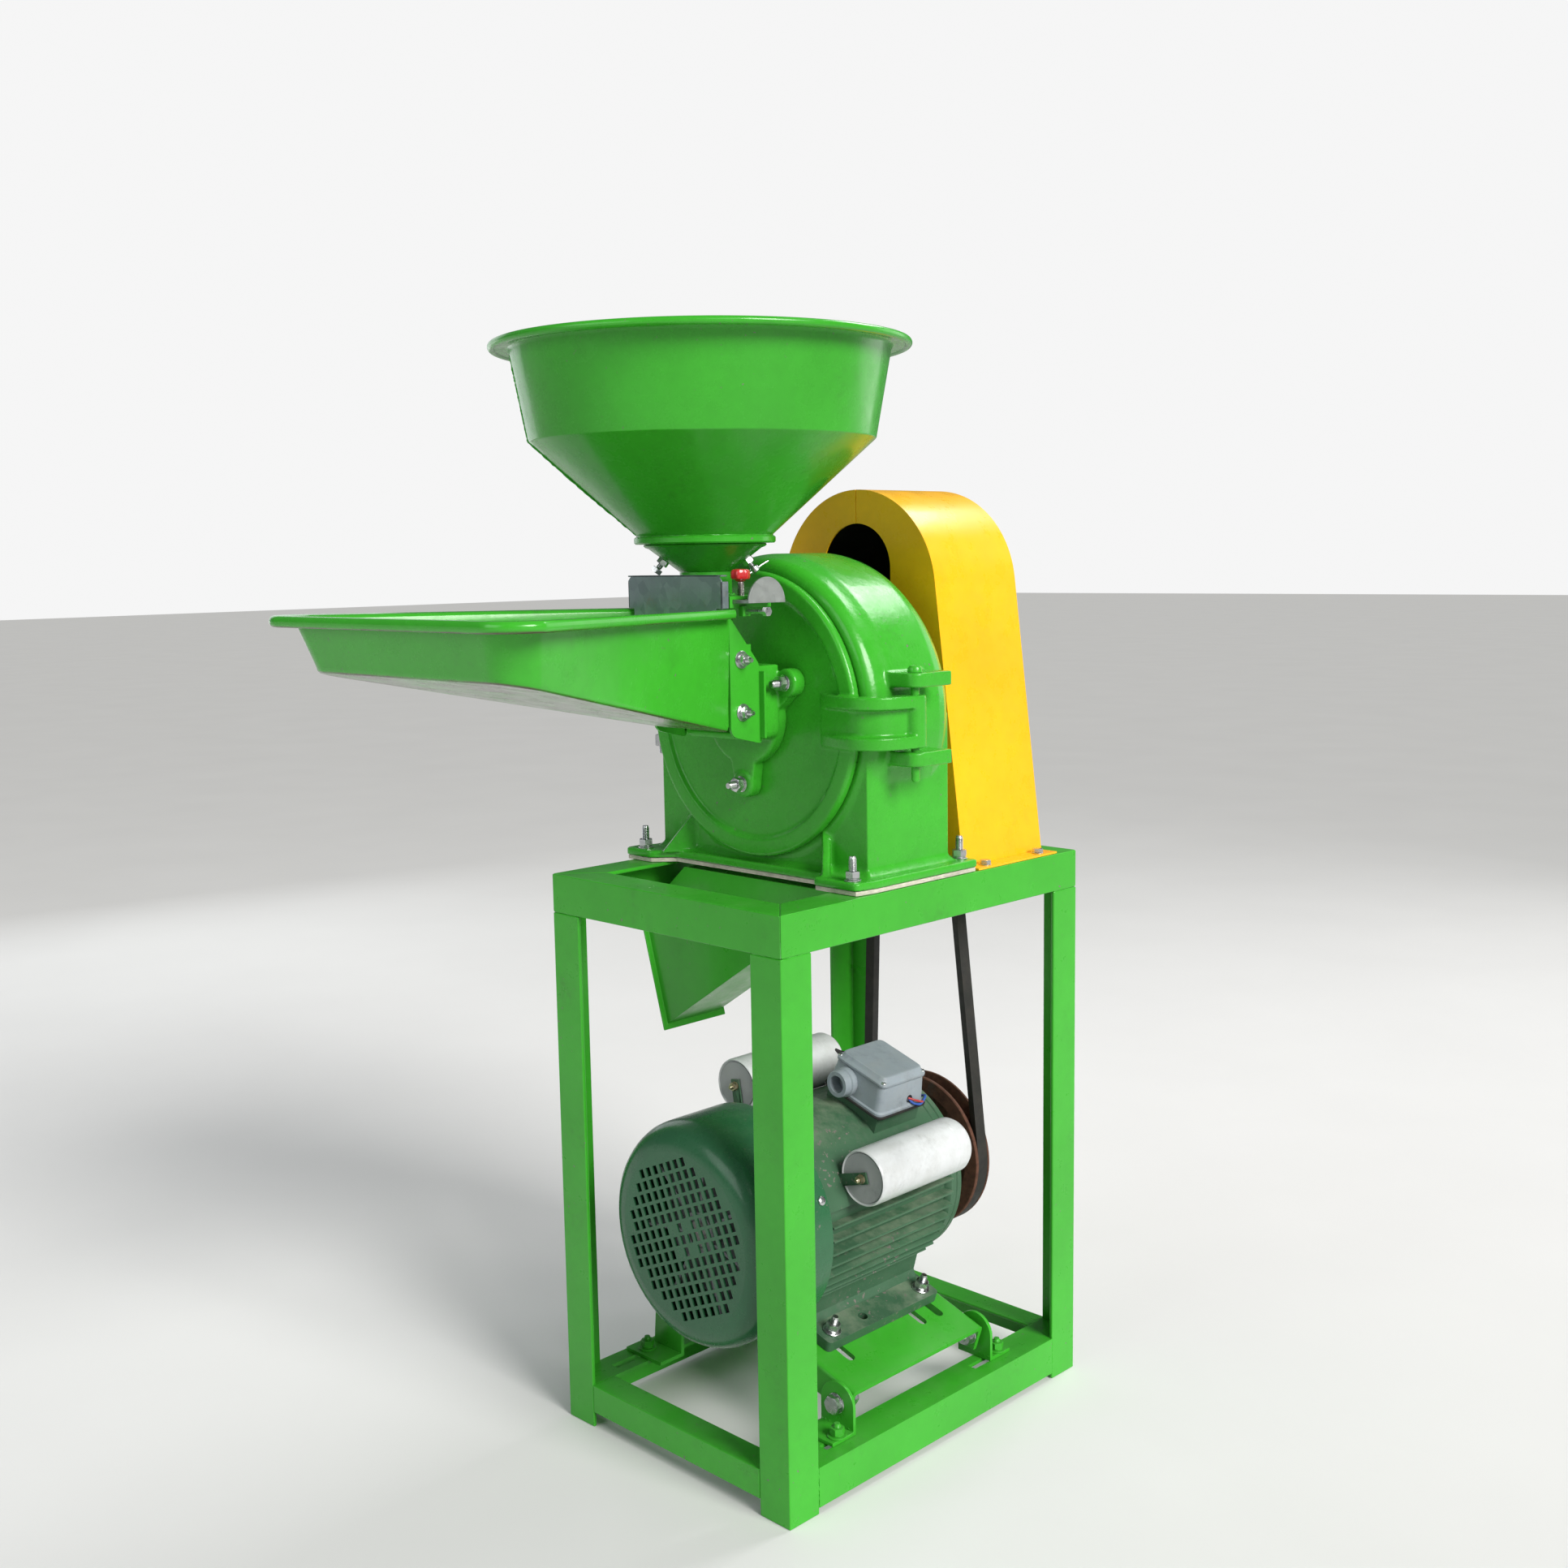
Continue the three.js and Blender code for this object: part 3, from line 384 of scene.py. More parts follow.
def hexagon(across, height, bore=0.0, sides=48):
    """A nut or bolt head with its upper corners turned off."""
    flat = across / 2
    turns = [i * TAU / sides for i in range(sides)]
    edge = [flat / math.cos((t % (TAU / 6)) - TAU / 12) for t in turns]
    point = lambda r, t, z: (r * math.cos(t), r * math.sin(t), z)
    rings = [
        [point(bore, t, 0) for t in turns],
        [point(flat * 0.97, t, 0) for t in turns],
        [point(r, t, 0.4 * (r - flat)) for r, t in zip(edge, turns)],
        [point(r, t, height - 0.6 * (r - flat)) for r, t in zip(edge, turns)],
        [point(flat * 0.95, t, height) for t in turns],
        [point(bore, t, height) for t in turns],
    ]
    return loops(rings, closed=bore > 0, capped=False)


def thread(radius, reach, pitch=1.25, sides=24):
    low, high = reach
    depth = 0.54 * pitch
    turns = int((high - low - pitch) / pitch)
    profile = [(0, low), (radius - depth, low)]
    for i in range(turns):
        start = low + i * pitch
        profile += [(radius - depth, start + 0.2 * pitch), (radius, start + 0.5 * pitch)]
    profile += [(radius - depth, low + turns * pitch), (radius - depth - 0.4, high), (0, high)]
    return lathe(profile, "z", sides=sides)


def washer(bore, outer, low, thickness):
    soft = thickness * 0.25
    profile = [(bore, low), (outer - soft, low), (outer, low + soft), (outer, low + thickness - soft)]
    return lathe(profile + [(outer - soft, low + thickness), (bore, low + thickness)], sides=40)


def nut_stack(size, proud, plate=1.24, spring=True):
    """Washer, spring washer and nut, with the end of the thread standing proud."""
    across = ACROSS[size]
    bore = size / 2
    shape = washer(bore, across * plate / 2, 0, 0.2 * size)
    level = 0.2 * size
    if spring:
        shape += washer(bore, across * 0.5, level, 0.22 * size)
        level += 0.22 * size
    shape += hexagon(across, 0.8 * size, bore - 0.3).at(z=level)
    return shape + thread(bore, (0, level + 0.8 * size + proud), 0.15 * size)


def bolt_head(size, plate=1.24):
    across = ACROSS[size]
    shape = washer(size / 2 - 0.4, across * plate / 2, 0, 0.2 * size)
    return shape + hexagon(across, 0.66 * size).at(z=0.2 * size)


def cross_screw(radius):
    """A pan head with a crossed recess."""
    dome = [(0, -1), (radius * 0.5, -1), (radius * 0.5, 0), (radius, 0), (radius, radius * 0.3)]
    dome += [(radius * math.cos(t), radius * (0.3 + 0.35 * math.sin(t))) for t in (0.35, 0.75, 1.15)]
    head = lathe(dome + [(0, radius * 0.65)], sides=32)
    arm, slot, depth = radius * 0.55, radius * 0.13, (radius * 0.35, radius)
    return carve(head, block((-arm, arm), (-slot, slot), depth), block((-slot, slot), (-arm, arm), depth))


def placed(shape, spots):
    """Copies of a fastener at (position, direction) spots."""
    return gather(shape.moved(aim(p, d, random.uniform(0, TAU))) for p, d in spots)


# ---- Materials ----


class Nodes:
    """A new material's node tree with a few short ways to add to it."""

    def __init__(self, name):
        self.material = bpy.data.materials.new(name)
        self.material.use_nodes = True
        self.tree = self.material.node_tree
        self.shader = self.tree.nodes["Principled BSDF"]
        self.place = self.add("ShaderNodeTexCoord").outputs["Object"]

    def add(self, kind, **settings):
        node = self.tree.nodes.new(kind)
        for key, value in settings.items():
            setattr(node, key, value)
        return node

    def link(self, source, target):
        self.tree.links.new(source, target)

    def noise(self, scale, detail=3.0, rough=0.5, stretch=None):
        node = self.add("ShaderNodeTexNoise")
        node.inputs["Scale"].default_value = scale
        node.inputs["Detail"].default_value = detail
        node.inputs["Roughness"].default_value = rough
        place = self.place
        if stretch:
            mapping = self.add("ShaderNodeMapping")
            mapping.inputs["Scale"].default_value = stretch
            self.link(place, mapping.inputs["Vector"])
            place = mapping.outputs["Vector"]
        self.link(place, node.inputs["Vector"])
        return node.outputs["Fac"]

    def ramp(self, source, low, high, bottom=0.0, top=1.0):
        node = self.add("ShaderNodeMapRange")
        node.inputs["From Min"].default_value = low
        node.inputs["From Max"].default_value = high
        node.inputs["To Min"].default_value = bottom
        node.inputs["To Max"].default_value = top
        self.link(source, node.inputs["Value"])
        return node.outputs["Result"]

    def mix(self, factor, first, second):
        node = self.add("ShaderNodeMix", data_type="RGBA")
        self.link(factor, node.inputs["Factor"])
        for socket, value in ((node.inputs[6], first), (node.inputs[7], second)):
            if isinstance(value, tuple):
                socket.default_value = (*value, 1.0)
            else:
                self.link(value, socket)
        return node.outputs[2]

    def product(self, first, second):
        node = self.add("ShaderNodeMath", operation="MULTIPLY")
        self.link(first, node.inputs[0])
        self.link(second, node.inputs[1])
        return node.outputs[0]

    def bump(self, layers):
        """Each layer is (height, strength, distance in metres)."""
        normal = None
        for height, strength, distance in layers:
            node = self.add("ShaderNodeBump")
            node.inputs["Strength"].default_value = strength
            node.inputs["Distance"].default_value = distance
            self.link(height, node.inputs["Height"])
            if normal:
                self.link(normal, node.inputs["Normal"])
            normal = node.outputs["Normal"]
        self.link(normal, self.shader.inputs["Normal"])

    def facing(self, axis, low, high):
        """How far the surface faces along +Z or -Z of the piece."""
        split = self.add("ShaderNodeSeparateXYZ")
        self.link(self.add("ShaderNodeTexCoord").outputs["Normal"], split.inputs[0])
        return self.ramp(split.outputs["Z"], axis * low, axis * high)


def scaled(colour, factor):
    return tuple(min(1.0, c * factor) for c in colour)


def enamel(name, colour, casting=False, rough=0.26, grime=(0.03, 0.035, 0.02), floor_reflection=None, chips=0.72,
           soil=0.3, coat=0.12, dusty=0.07):
    """Gloss paint: orange peel, uneven coat, dust and dirt, small chips."""
    n = Nodes(name)
    uneven = n.ramp(n.noise(7.0, 4.0), 0.3, 0.7)
    base = n.mix(uneven, scaled(colour, 0.9), scaled(colour, 1.1))
    fine = n.ramp(n.noise(90.0, 5.0, 0.65), 0.35, 0.75, 0.0, 0.16)
    base = n.mix(fine, base, scaled(colour, 0.55))
    # Down-facing faces take a patchy brown tint: a painted reflection of a brown floor, not a colour of the paint
    # itself.
    if floor_reflection:
        stain_and_reflection = n.ramp(n.noise(16.0, 6.0, 0.7), 0.35, 0.6, 0.25, 0.95)
        base = n.mix(n.product(n.facing(-1, 0.45, 0.75), stain_and_reflection), base, floor_reflection)
    dust = n.product(n.facing(1, 0.7, 1.0), n.ramp(n.noise(22.0, 6.0, 0.7), 0.42, 0.75, 0.0, dusty))
    base = n.mix(dust, base, (0.42, 0.46, 0.34))
    dirt = n.product(n.ramp(n.noise(12.0, 8.0, 0.72), 0.54, 0.74), n.ramp(n.noise(140.0, 3.0), 0.4, 0.7))
    base = n.mix(n.ramp(dirt, 0.0, 1.0, 0.0, soil), base, grime)
    chip = n.ramp(n.noise(210.0, 2.0), chips, chips + 0.02)
    chip = n.product(chip, n.ramp(n.noise(9.0, 2.0), 0.5, 0.6))
    base = n.mix(chip, base, (0.16, 0.15, 0.13))
    n.link(base, n.shader.inputs["Base Color"])
    wear = n.ramp(n.noise(38.0, 6.0, 0.7), 0.3, 0.75, rough - 0.06, rough + 0.16)
    n.link(wear, n.shader.inputs["Roughness"])
    n.shader.inputs["Specular IOR Level"].default_value = 0.34
    n.shader.inputs["Coat Weight"].default_value = coat
    n.shader.inputs["Coat Roughness"].default_value = 0.06
    layers = [(n.noise(330.0, 2.0), 0.10, 0.0005), (n.noise(26.0, 2.0), 0.10, 0.002)]
    if casting:
        layers += [(n.noise(120.0, 5.0, 0.6), 0.28, 0.0012), (n.noise(700.0, 3.0), 0.10, 0.0004)]
    n.bump(layers)
    return n.material


def plated(name, colour, dull, rough, metallic=1.0, spangle=0.0, stain_and_reflection=(0.30, 0.24, 0.15)):
    """Zinc, galvanised or bare steel: patchy shine, fine scratches, faint stains."""
    n = Nodes(name)
    patch = n.ramp(n.noise(60.0, 4.0, 0.6), 0.3, 0.7)
    if spangle:
        cells = n.add("ShaderNodeTexVoronoi")
        cells.inputs["Scale"].default_value = spangle
        n.link(n.place, cells.inputs["Vector"])
        split = n.add("ShaderNodeSeparateColor")
        n.link(cells.outputs["Color"], split.inputs[0])
        patch = split.outputs[0]
    base = n.mix(patch, colour, dull)
    mark = n.product(n.ramp(n.noise(35.0, 7.0, 0.7), 0.56, 0.72), n.ramp(n.noise(260.0, 3.0), 0.4, 0.65))
    base = n.mix(n.ramp(mark, 0.0, 1.0, 0.0, 0.5), base, stain_and_reflection)
    n.link(base, n.shader.inputs["Base Color"])
    n.shader.inputs["Metallic"].default_value = metallic
    wear = n.ramp(n.noise(110.0, 5.0, 0.7), 0.3, 0.75, rough - 0.1, rough + 0.15)
    n.link(wear, n.shader.inputs["Roughness"])
    scratch = n.noise(60.0, 3.0, 0.6, stretch=(1.0, 14.0, 3.0))
    n.bump([(scratch, 0.10, 0.0003), (n.noise(500.0, 3.0), 0.14, 0.0003)])
    return n.material


def iron(name, bright, brown, amount):
    """Machined iron with surface rust; amount is the share of rust."""
    n = Nodes(name)
    edge = 0.5 + 0.22 * (1 - 2 * amount)
    rust = n.ramp(n.noise(30.0, 8.0, 0.72), edge - 0.08, edge + 0.08)
    tone = n.mix(n.ramp(n.noise(150.0, 5.0, 0.7), 0.3, 0.7), scaled(brown, 0.55), scaled(brown, 1.35))
    base = n.mix(rust, n.mix(n.ramp(n.noise(45.0), 0.3, 0.7), bright, scaled(bright, 0.7)), tone)
    n.link(base, n.shader.inputs["Base Color"])
    n.link(n.ramp(rust, 0.0, 1.0, 0.9, 0.1), n.shader.inputs["Metallic"])
    n.link(n.ramp(rust, 0.0, 1.0, 0.38, 0.82), n.shader.inputs["Roughness"])
    n.bump([(n.noise(180.0, 6.0, 0.7), 0.3, 0.0008), (n.noise(600.0, 3.0), 0.15, 0.0003)])
    return n.material


def moulded(name, colour, rough, grain=420.0, dusty=0.25, dust=(0.30, 0.29, 0.25), coat=0.0):
    """Plastic or rubber: fine grain, handling marks, dust lying on it."""
    n = Nodes(name)
    base = n.mix(n.ramp(n.noise(14.0, 5.0, 0.6), 0.3, 0.7), scaled(colour, 0.86), scaled(colour, 1.08))
    film = n.ramp(n.noise(48.0, 7.0, 0.72), 0.45, 0.75, 0.0, dusty)
    base = n.mix(film, base, dust)
    smear = n.product(n.ramp(n.noise(26.0, 6.0, 0.7), 0.52, 0.7), n.ramp(n.noise(190.0, 3.0), 0.35, 0.7))
    base = n.mix(n.ramp(smear, 0.0, 1.0, 0.0, 0.45), base, scaled(colour, 0.35))
    n.link(base, n.shader.inputs["Base Color"])
    wear = n.ramp(n.noise(80.0, 5.0, 0.7), 0.3, 0.75, rough - 0.07, rough + 0.14)
    n.link(wear, n.shader.inputs["Roughness"])
    n.shader.inputs["Coat Weight"].default_value = coat
    n.bump([(n.noise(grain * 2.2, 2.0), 0.14, 0.0003), (n.noise(40.0, 3.0), 0.08, 0.0015)])
    return n.material


def fibre_board(name, colour):
    n = Nodes(name)
    strand = n.noise(150.0, 6.0, 0.7, stretch=(1.0, 1.0, 9.0))
    base = n.mix(n.ramp(strand, 0.3, 0.7), scaled(colour, 0.6), scaled(colour, 1.15))
    base = n.mix(n.ramp(n.noise(20.0, 6.0, 0.7), 0.5, 0.75, 0.0, 0.6), base, scaled(colour, 0.35))
    n.link(base, n.shader.inputs["Base Color"])
    n.shader.inputs["Roughness"].default_value = 0.92
    n.bump([(strand, 0.5, 0.001), (n.noise(500.0, 3.0), 0.3, 0.0005)])
    return n.material


GREEN = (0.042, 0.375, 0.022)
STAND = (enamel("stand_enamel", GREEN, rough=0.30), "stand_paint")
CAST = (enamel("casting_enamel", scaled(GREEN, 1.02), casting=True, rough=0.24), "casting_paint")
# The tray's down-facing faces carry a painted reflection of a brown floor.
TRAY = (enamel("tray_enamel", GREEN, rough=0.2, floor_reflection=(0.085, 0.06, 0.04)), "tray_paint")
HOPPER = (enamel("hopper_enamel", scaled(GREEN, 0.95), rough=0.22), "tray_paint")
MOTOR_PAINT = (
    enamel("motor_enamel", (0.046, 0.118, 0.062), rough=0.4, grime=(0.13, 0.15, 0.12), chips=0.64,
           soil=0.75, dusty=0.5),
    "motor_paint",
)
COWL_PAINT = (
    enamel("cowl_enamel", (0.026, 0.122, 0.052), rough=0.24, grime=(0.09, 0.11, 0.09), soil=0.5),
    "motor_paint",
)
YELLOW = (
    enamel("yellow_enamel", (0.95, 0.47, 0.008), rough=0.27, grime=(0.45, 0.22, 0.01), chips=0.80),
    "yellow_paint",
)
ZINC = (plated("zinc_plate", (0.70, 0.71, 0.70), (0.48, 0.50, 0.52), 0.3), "steel")
BRIGHT = (plated("bright_steel", (0.55, 0.54, 0.52), (0.36, 0.35, 0.34), 0.34), "steel")
GALVANISED = (
    plated("galvanised_sheet", (0.30, 0.36, 0.38), (0.22, 0.27, 0.29), 0.42, 0.75, 95.0),
    "galvanised",
)
GATE_METAL = (plated("gate_sheet", (0.42, 0.44, 0.43), (0.34, 0.36, 0.35), 0.45, 0.7, 120.0), "galvanised")
DARK_IRON = (iron("machined_iron", (0.16, 0.155, 0.15), (0.13, 0.06, 0.03), 0.25), "dark_iron")
RUSTY = (iron("rusty_iron", (0.12, 0.10, 0.09), (0.105, 0.042, 0.024), 0.8), "rusty_iron")
GREY = (moulded("grey_box_plastic", (0.27, 0.315, 0.35), 0.42), "grey_plastic")
PALE = (moulded("capacitor_plastic", (0.60, 0.62, 0.63), 0.32, dusty=0.3, coat=0.2), "pale_plastic")
END_GREY = (moulded("capacitor_end", (0.40, 0.41, 0.42), 0.5), "pale_plastic")
RED = (
    moulded("red_knob_plastic", (0.62, 0.016, 0.022), 0.25, coat=0.4, dust=(0.4, 0.2, 0.18)),
    "red_plastic",
)
RUBBER = (
    moulded("belt_rubber", (0.016, 0.015, 0.014), 0.62, dusty=0.3, dust=(0.07, 0.055, 0.04)),
    "rubber",
)
BOARD = (fibre_board("packing_board", (0.66, 0.62, 0.52)), "board")
# A near-black coat for the sheet inside the belt cover: painted shade.
SHADE_LINER = (enamel("painted_shade_liner", (0.022, 0.02, 0.016), rough=0.6, chips=0.8), "dark_iron")
BRASS = (plated("brass", (0.56, 0.50, 0.34), (0.42, 0.36, 0.22), 0.34), "steel")
BLUE_WIRE = (moulded("blue_sleeve", (0.02, 0.09, 0.42), 0.4), "rubber")
RED_WIRE = (moulded("red_sleeve", (0.42, 0.02, 0.02), 0.4), "rubber")


# ---- Stand ----


def build_stand():
    for node in ("leg_front_left", "leg_front_right", "leg_back_right", "leg_back_left"):
        refined(node, STAND, 1.2, 3)
    for side in ("front", "right", "back", "left"):
        refined("top_rail_" + side, STAND, 1.2, 3)
        refined("bottom_rail_" + side, STAND, 1.0, 3)
    for kind in ("hinge", "tension"):
        for end in ("front", "rear"):
            refined(f"{kind}_bracket_{end}", STAND, 0.9, 2)
    welds = []
    for sx, corner in ((-1, "left"), (1, "right")):
        for sy, end in ((-1, "front"), (1, "back")):
            xs, ys, zs = ranges(f"leg_{end}_{corner}")
            x, y = (xs[0], xs[1])[sx > 0], (ys[0], ys[1])[sy > 0]
            top = zs[1] + 0.4
            inner_x, inner_y = x - sx * 39, y - sy * 39
            inset = 2.2
            welds.append(bead((x - sx * 4, y - sy * inset, top), (inner_x, y - sy * inset, top), 1.5))
            welds.append(bead((x - sx * inset, y - sy * 4, top), (x - sx * inset, inner_y, top), 1.5))
            sill = ranges(f"bottom_rail_{corner}")[2]
            welds.append(bead((x - sx * 2, inner_y, sill[0]), (x - sx * 2, inner_y, sill[1]), 2.0))
            welds.append(bead((inner_x, y - sy * 2.8, sill[1] - 28), (inner_x, y - sy * 2.8, sill[1]), 1.8))
    feet = []
    for node, inward in (("hinge_bracket_front", 1), ("hinge_bracket_rear", -1)):
        xs, ys, (low, _) = ranges(node)
        y = ys[0] if inward > 0 else ys[1]
        weld_y, bolt_y = y + inward * 32, y + inward * 14
        welds.append(bead((xs[0] + 2, weld_y, low + 5), (xs[1] - 2, weld_y, low + 5), 2.2))
        feet += [((x, bolt_y, low + 4), (0, 0, 1)) for x in (141, -141)]
    part("stand_welds", gather(welds), STAND, "stand")
    refined("packing", BOARD, 0.7, 2)
    part("bracket_foot_bolts", placed(nut_stack(8, 4, 1.5), feet), STAND, "stand")


# ---- Mill casing ----

SHAFT_Z = span("rotor_shaft")[0].z / 2 + span("rotor_shaft")[1].z / 2
CASING = ranges("mill_casing")
BASE_TOP = CASING[2][0] + 8
PIN = [(a + b) / 2 for a, b in ranges("hinge_pin")[:2]]
CLAMP = [(a + b) / 2 for a, b in ranges("clamp_nut")[:2]]
MOUTH = -90  # front rim of the grinding chamber


def base_plan():
    plan = [
        (-164, 58), (-164, -88), (-172, -96), (-172, -121), (-132, -121), (-114, -101),
        (98, -101), (104, -121), (160, -121), (164, -95), (164, 58),
    ]
    return rounded(plan, 5, 4)


def hinge_lug(low, high):
    plan = [(136, PIN[1] - 12)] + arc(PIN, 12, -90, 0, 10) + [(PIN[0] + 12, -14), (136, -14)]
    return prism("z", plan, (low, high))


def gusset(x, sideways):
    """A thin rib from the pedestal's front down to the base."""
    top, foot, inner = Vector((x, -86, 643)), Vector((x + sideways, -115, 598)), Vector((x, -86, 598))
    across = Vector((1, sideways / 29, 0)).normalized() * 4
    return loops([[p - across for p in (top, foot, inner)], [p + across for p in (top, foot, inner)]])


def build_casing():
    bottom = CASING[2][0]
    drum = lathe(
        [(138, MOUTH), (144.5, MOUTH), (149, -88.8), (152.5, -85.5), (155, -80), (156.3, -70), (158.5, -60),
         (158.5, 5), (156, 15), (148, 28), (138, 36), (125, 40), (20, 40), (20, 15), (138, 15)],
        "y", (0, SHAFT_Z), 192,
    )
    hollow = oblong((-139, 139), (629, SHAFT_Z))
    side = [(-146, bottom), (146, bottom), (146, SHAFT_Z)] + arc((0, SHAFT_Z), 141, 0, -180, 64)
    side += [(-146, SHAFT_Z)]
    walls = carve(
        prism("y", side, (-88, 33)),
        prism("y", hollow, (-81, 15)),
        block((-100, 118), (-80, -24), (bottom - 1, 640)),
    )
    plate = carve(prism("z", base_plan(), (bottom, BASE_TOP)), block((-100, 118), (-80, -24), (580, 640)))
    foot = carve(
        frustum(((-153, 153), (-94, 40)), ((-145, 145), (-87, 32)), (BASE_TOP - 1, BASE_TOP + 7)),
        block((-139, 139), (-81, 26), (580, 640)),
    )
    pocket = [
        block((-163.4, -154.6), (-96, CLAMP[1] + 9), (690, 768)),
        block((-168, CLAMP[0] + 9), (-96, CLAMP[1] + 9), (690, 720)),
    ]
    clevis = block((-168, -146), (CLAMP[1] + 9, CLAMP[1] + 22), (740, 758))
    clevis += block((-168, -163.4), (CLAMP[1] - 9, CLAMP[1] + 10), (741, 757))
    ear = carve(drum, *pocket)
    body = ear + walls + plate + foot + gusset(90, 26) + gusset(-98, -22)
    body += hinge_lug(705, 719) + hinge_lug(780, 794)
    body = cast(body + clevis, VOXEL, 5)
    bore = rod("z", 4.4, (695, 805), PIN)
    part("mill_casing_cast", carve(body, bore), CAST, "stand", ["mill_casing"], crease=60)
    part("clamp_peg", rod("x", 2.9, (-166, -150), (CLAMP[1], 749), 24), BRIGHT, "stand")
    low, high = span("hinge_pin")
    head = [(0, low.z), (2.4, low.z), (4, low.z + 2), (4, 794.3), (7, 794.3), (7, 798), (5, 800.4),
            (0, high.z)]
    part("hinge_pin_turned", lathe(head, "z", PIN, 40), CAST, "stand", ["hinge_pin"])
    studs = [((x, y, BASE_TOP), (0, 0, 1)) for x, y in ((-150, -111), (147, -111), (149, 46), (-149, 46))]
    part("base_studs", placed(nut_stack(8, 14), studs), ZINC, "stand")


def perforated_ring(radius, reach, across, along, thickness=1.2):
    """A rolled sheet with a round hole in every cell, as an inner and an outer skin with hole walls."""
    low, high = reach
    corners = 8
    points, faces = [], []

    def add_point(layer, i, j):
        turn = TAU * i / across
        points.append((layer * math.cos(turn), low + (high - low) * j / along, layer * math.sin(turn)))

    for layer in (radius, radius + thickness):
        for i in range(across + 1):
            for j in range(along + 1):
                add_point(layer, i, j)
    grid = (across + 1) * (along + 1)
    for i in range(across):
        for j in range(along):
            holes = []
            for k, layer in enumerate((radius, radius + thickness)):
                start = len(points)
                for c in range(corners):
                    angle = TAU * (c + 0.5) / corners
                    add_point(layer, i + 0.5 + 0.3 * math.cos(angle), j + 0.5 + 0.3 * math.sin(angle))
                a = k * grid + i * (along + 1) + j
                b = a + along + 1
                outer = [b + 1, a + 1, a, b]  # at 45, 135, 225 and 315 degrees
                for q in range(4):
                    first = start + 2 * q
                    second = start + (2 * q + 1) % corners
                    third = start + (2 * q + 2) % corners
                    faces.append((outer[q], first, second))
                    faces.append((outer[q], second, third, outer[(q + 1) % 4]))
                holes.append(start)
            faces += [
                (holes[0] + c, holes[0] + (c + 1) % corners, holes[1] + (c + 1) % corners, holes[1] + c)
                for c in range(corners)
            ]
    for j in (0, along):
        for i in range(across):
            a = i * (along + 1) + j
            faces.append((a, a + along + 1, grid + a + along + 1, grid + a))
    return Shape(points, faces).at(z=SHAFT_Z)


def build_inside():
    reach = ranges("ring_screen")[1]
    part("ring_screen_sheet", perforated_ring(124.4, reach, 120, 16), BRIGHT, "stand", ["ring_screen"])
    lo, hi = ranges("bearing_housing")[1]
    housing = [(31.2, lo), (56.5, lo), (58, lo + 1.5), (58, 48.5), (56.5, 50), (45, 50.5), (42, 54),
               (42, hi - 2), (40, hi), (33, hi), (31.2, hi - 1.5)]
    shell = lathe(housing, "y", (0, SHAFT_Z), 96)
    for x, z in arc((0, SHAFT_Z), 49.5, 45, 315, 3):
        shell += bolt_head(8).moved(aim((x, 50, z), (0, 1, 0)))
    part("bearing_housing_turned", shell, CAST, "stand", ["bearing_housing"])
    for node in ("bearing_front", "bearing_rear"):
        a, b = ranges(node)[1]
        outer = [(25, a), (30.4, a), (31, a + 0.6), (31, b - 0.6), (30.4, b), (25, b)]
        inner = [(15.2, a), (20, a), (20, b), (15.2, b)]
        seal = [(20, a + 1), (25, a + 1), (25, b - 1), (20, b - 1)]
        ring = gather(lathe(profile, "y", (0, SHAFT_Z), 72) for profile in (outer, inner, seal))
        part(node + "_races", ring, BRIGHT, "stand", [node], edge=0.2, segments=1)
    refined("fixed_claw_disc", DARK_IRON, 0.7)
    refined("rotor_disc", DARK_IRON, 0.7)
    profile = [(0, -46), (10.5, -46), (12, -44.5), (12, -36), (14.2, -36), (15, -35.2), (15, 157),
               (14, 158), (0, 158)]
    shaft = lathe(profile, "y", (0, SHAFT_Z), 64)
    shaft += hexagon(27, 10, 11.8).moved(aim((0, -34.2, SHAFT_Z), (0, -1, 0)))
    part("rotor_shaft_turned", shaft, BRIGHT, "rotor", ["rotor_shaft"])


# ---- Belt drive ----


def belt_cover_outline(shrink, foot):
    radius, half, top = 107 - shrink, 142 - shrink, 865
    drop = top - foot
    lean = math.atan2(drop, -half) - math.asin(radius / math.hypot(half, drop)) - math.pi / 2
    bow = arc((0, top), radius, math.degrees(lean), 180 - math.degrees(lean), 48)
    return [(-half, foot), (half, foot)] + bow


def build_cover():
    xs, (front, back), (foot, _) = ranges("belt_cover")
    sheet = 2
    arch = [(-47, 640), (47, 640)] + arc((0, 890), 47, 0, 180, 32)
    shell = prism("y", belt_cover_outline(0, foot), (front, back))
    flanges = [
        block(sorted((side * 139, side * xs[1])), (front, back), (foot, foot + sheet)) for side in (-1, 1)
    ]
    shell = carve(
        combine(shell, gather(flanges), "UNION"),
        prism("y", belt_cover_outline(sheet, foot - 1), (front + sheet, back - sheet)),
        prism("y", arch, (front - 1, front + sheet + 1)),
        block((-0.45, 0.45), (front - 1, front + sheet + 1), (936, 980)),
    )
    part("belt_cover_sheet", shell, YELLOW, "stand", ["belt_cover"], edge=0.9, segments=3, crease=30)
    # A thin near-black sheet on the inside of the cover's back wall: painted shade, which makes the inside seen
    # through the arch dark.
    shade_liner = carve(
        prism("y", belt_cover_outline(sheet + 0.2, foot + 1), (front + sheet + 0.2, back - sheet - 0.2)),
        prism("y", belt_cover_outline(sheet + 0.6, foot), (front, back - sheet - 0.7)),
    )
    part("belt_cover_shade_liner", shade_liner, SHADE_LINER, "stand")
    spots = [
        ((side * 153, y, foot + sheet), (0, 0, 1)) for side in (-1, 1) for y in (front + 22, back - 22)
    ]
    part("cover_bolts", placed(bolt_head(6), spots), ZINC, "stand")
    seams = [bead((x, front + 1, foot + 24), (x, front + 1, foot + 34), 1.0) for x in (-60, 60)]
    part("cover_spot_welds", gather(seams), YELLOW, "stand")
    refined("discharge_chute", STAND, 0.9, 3)


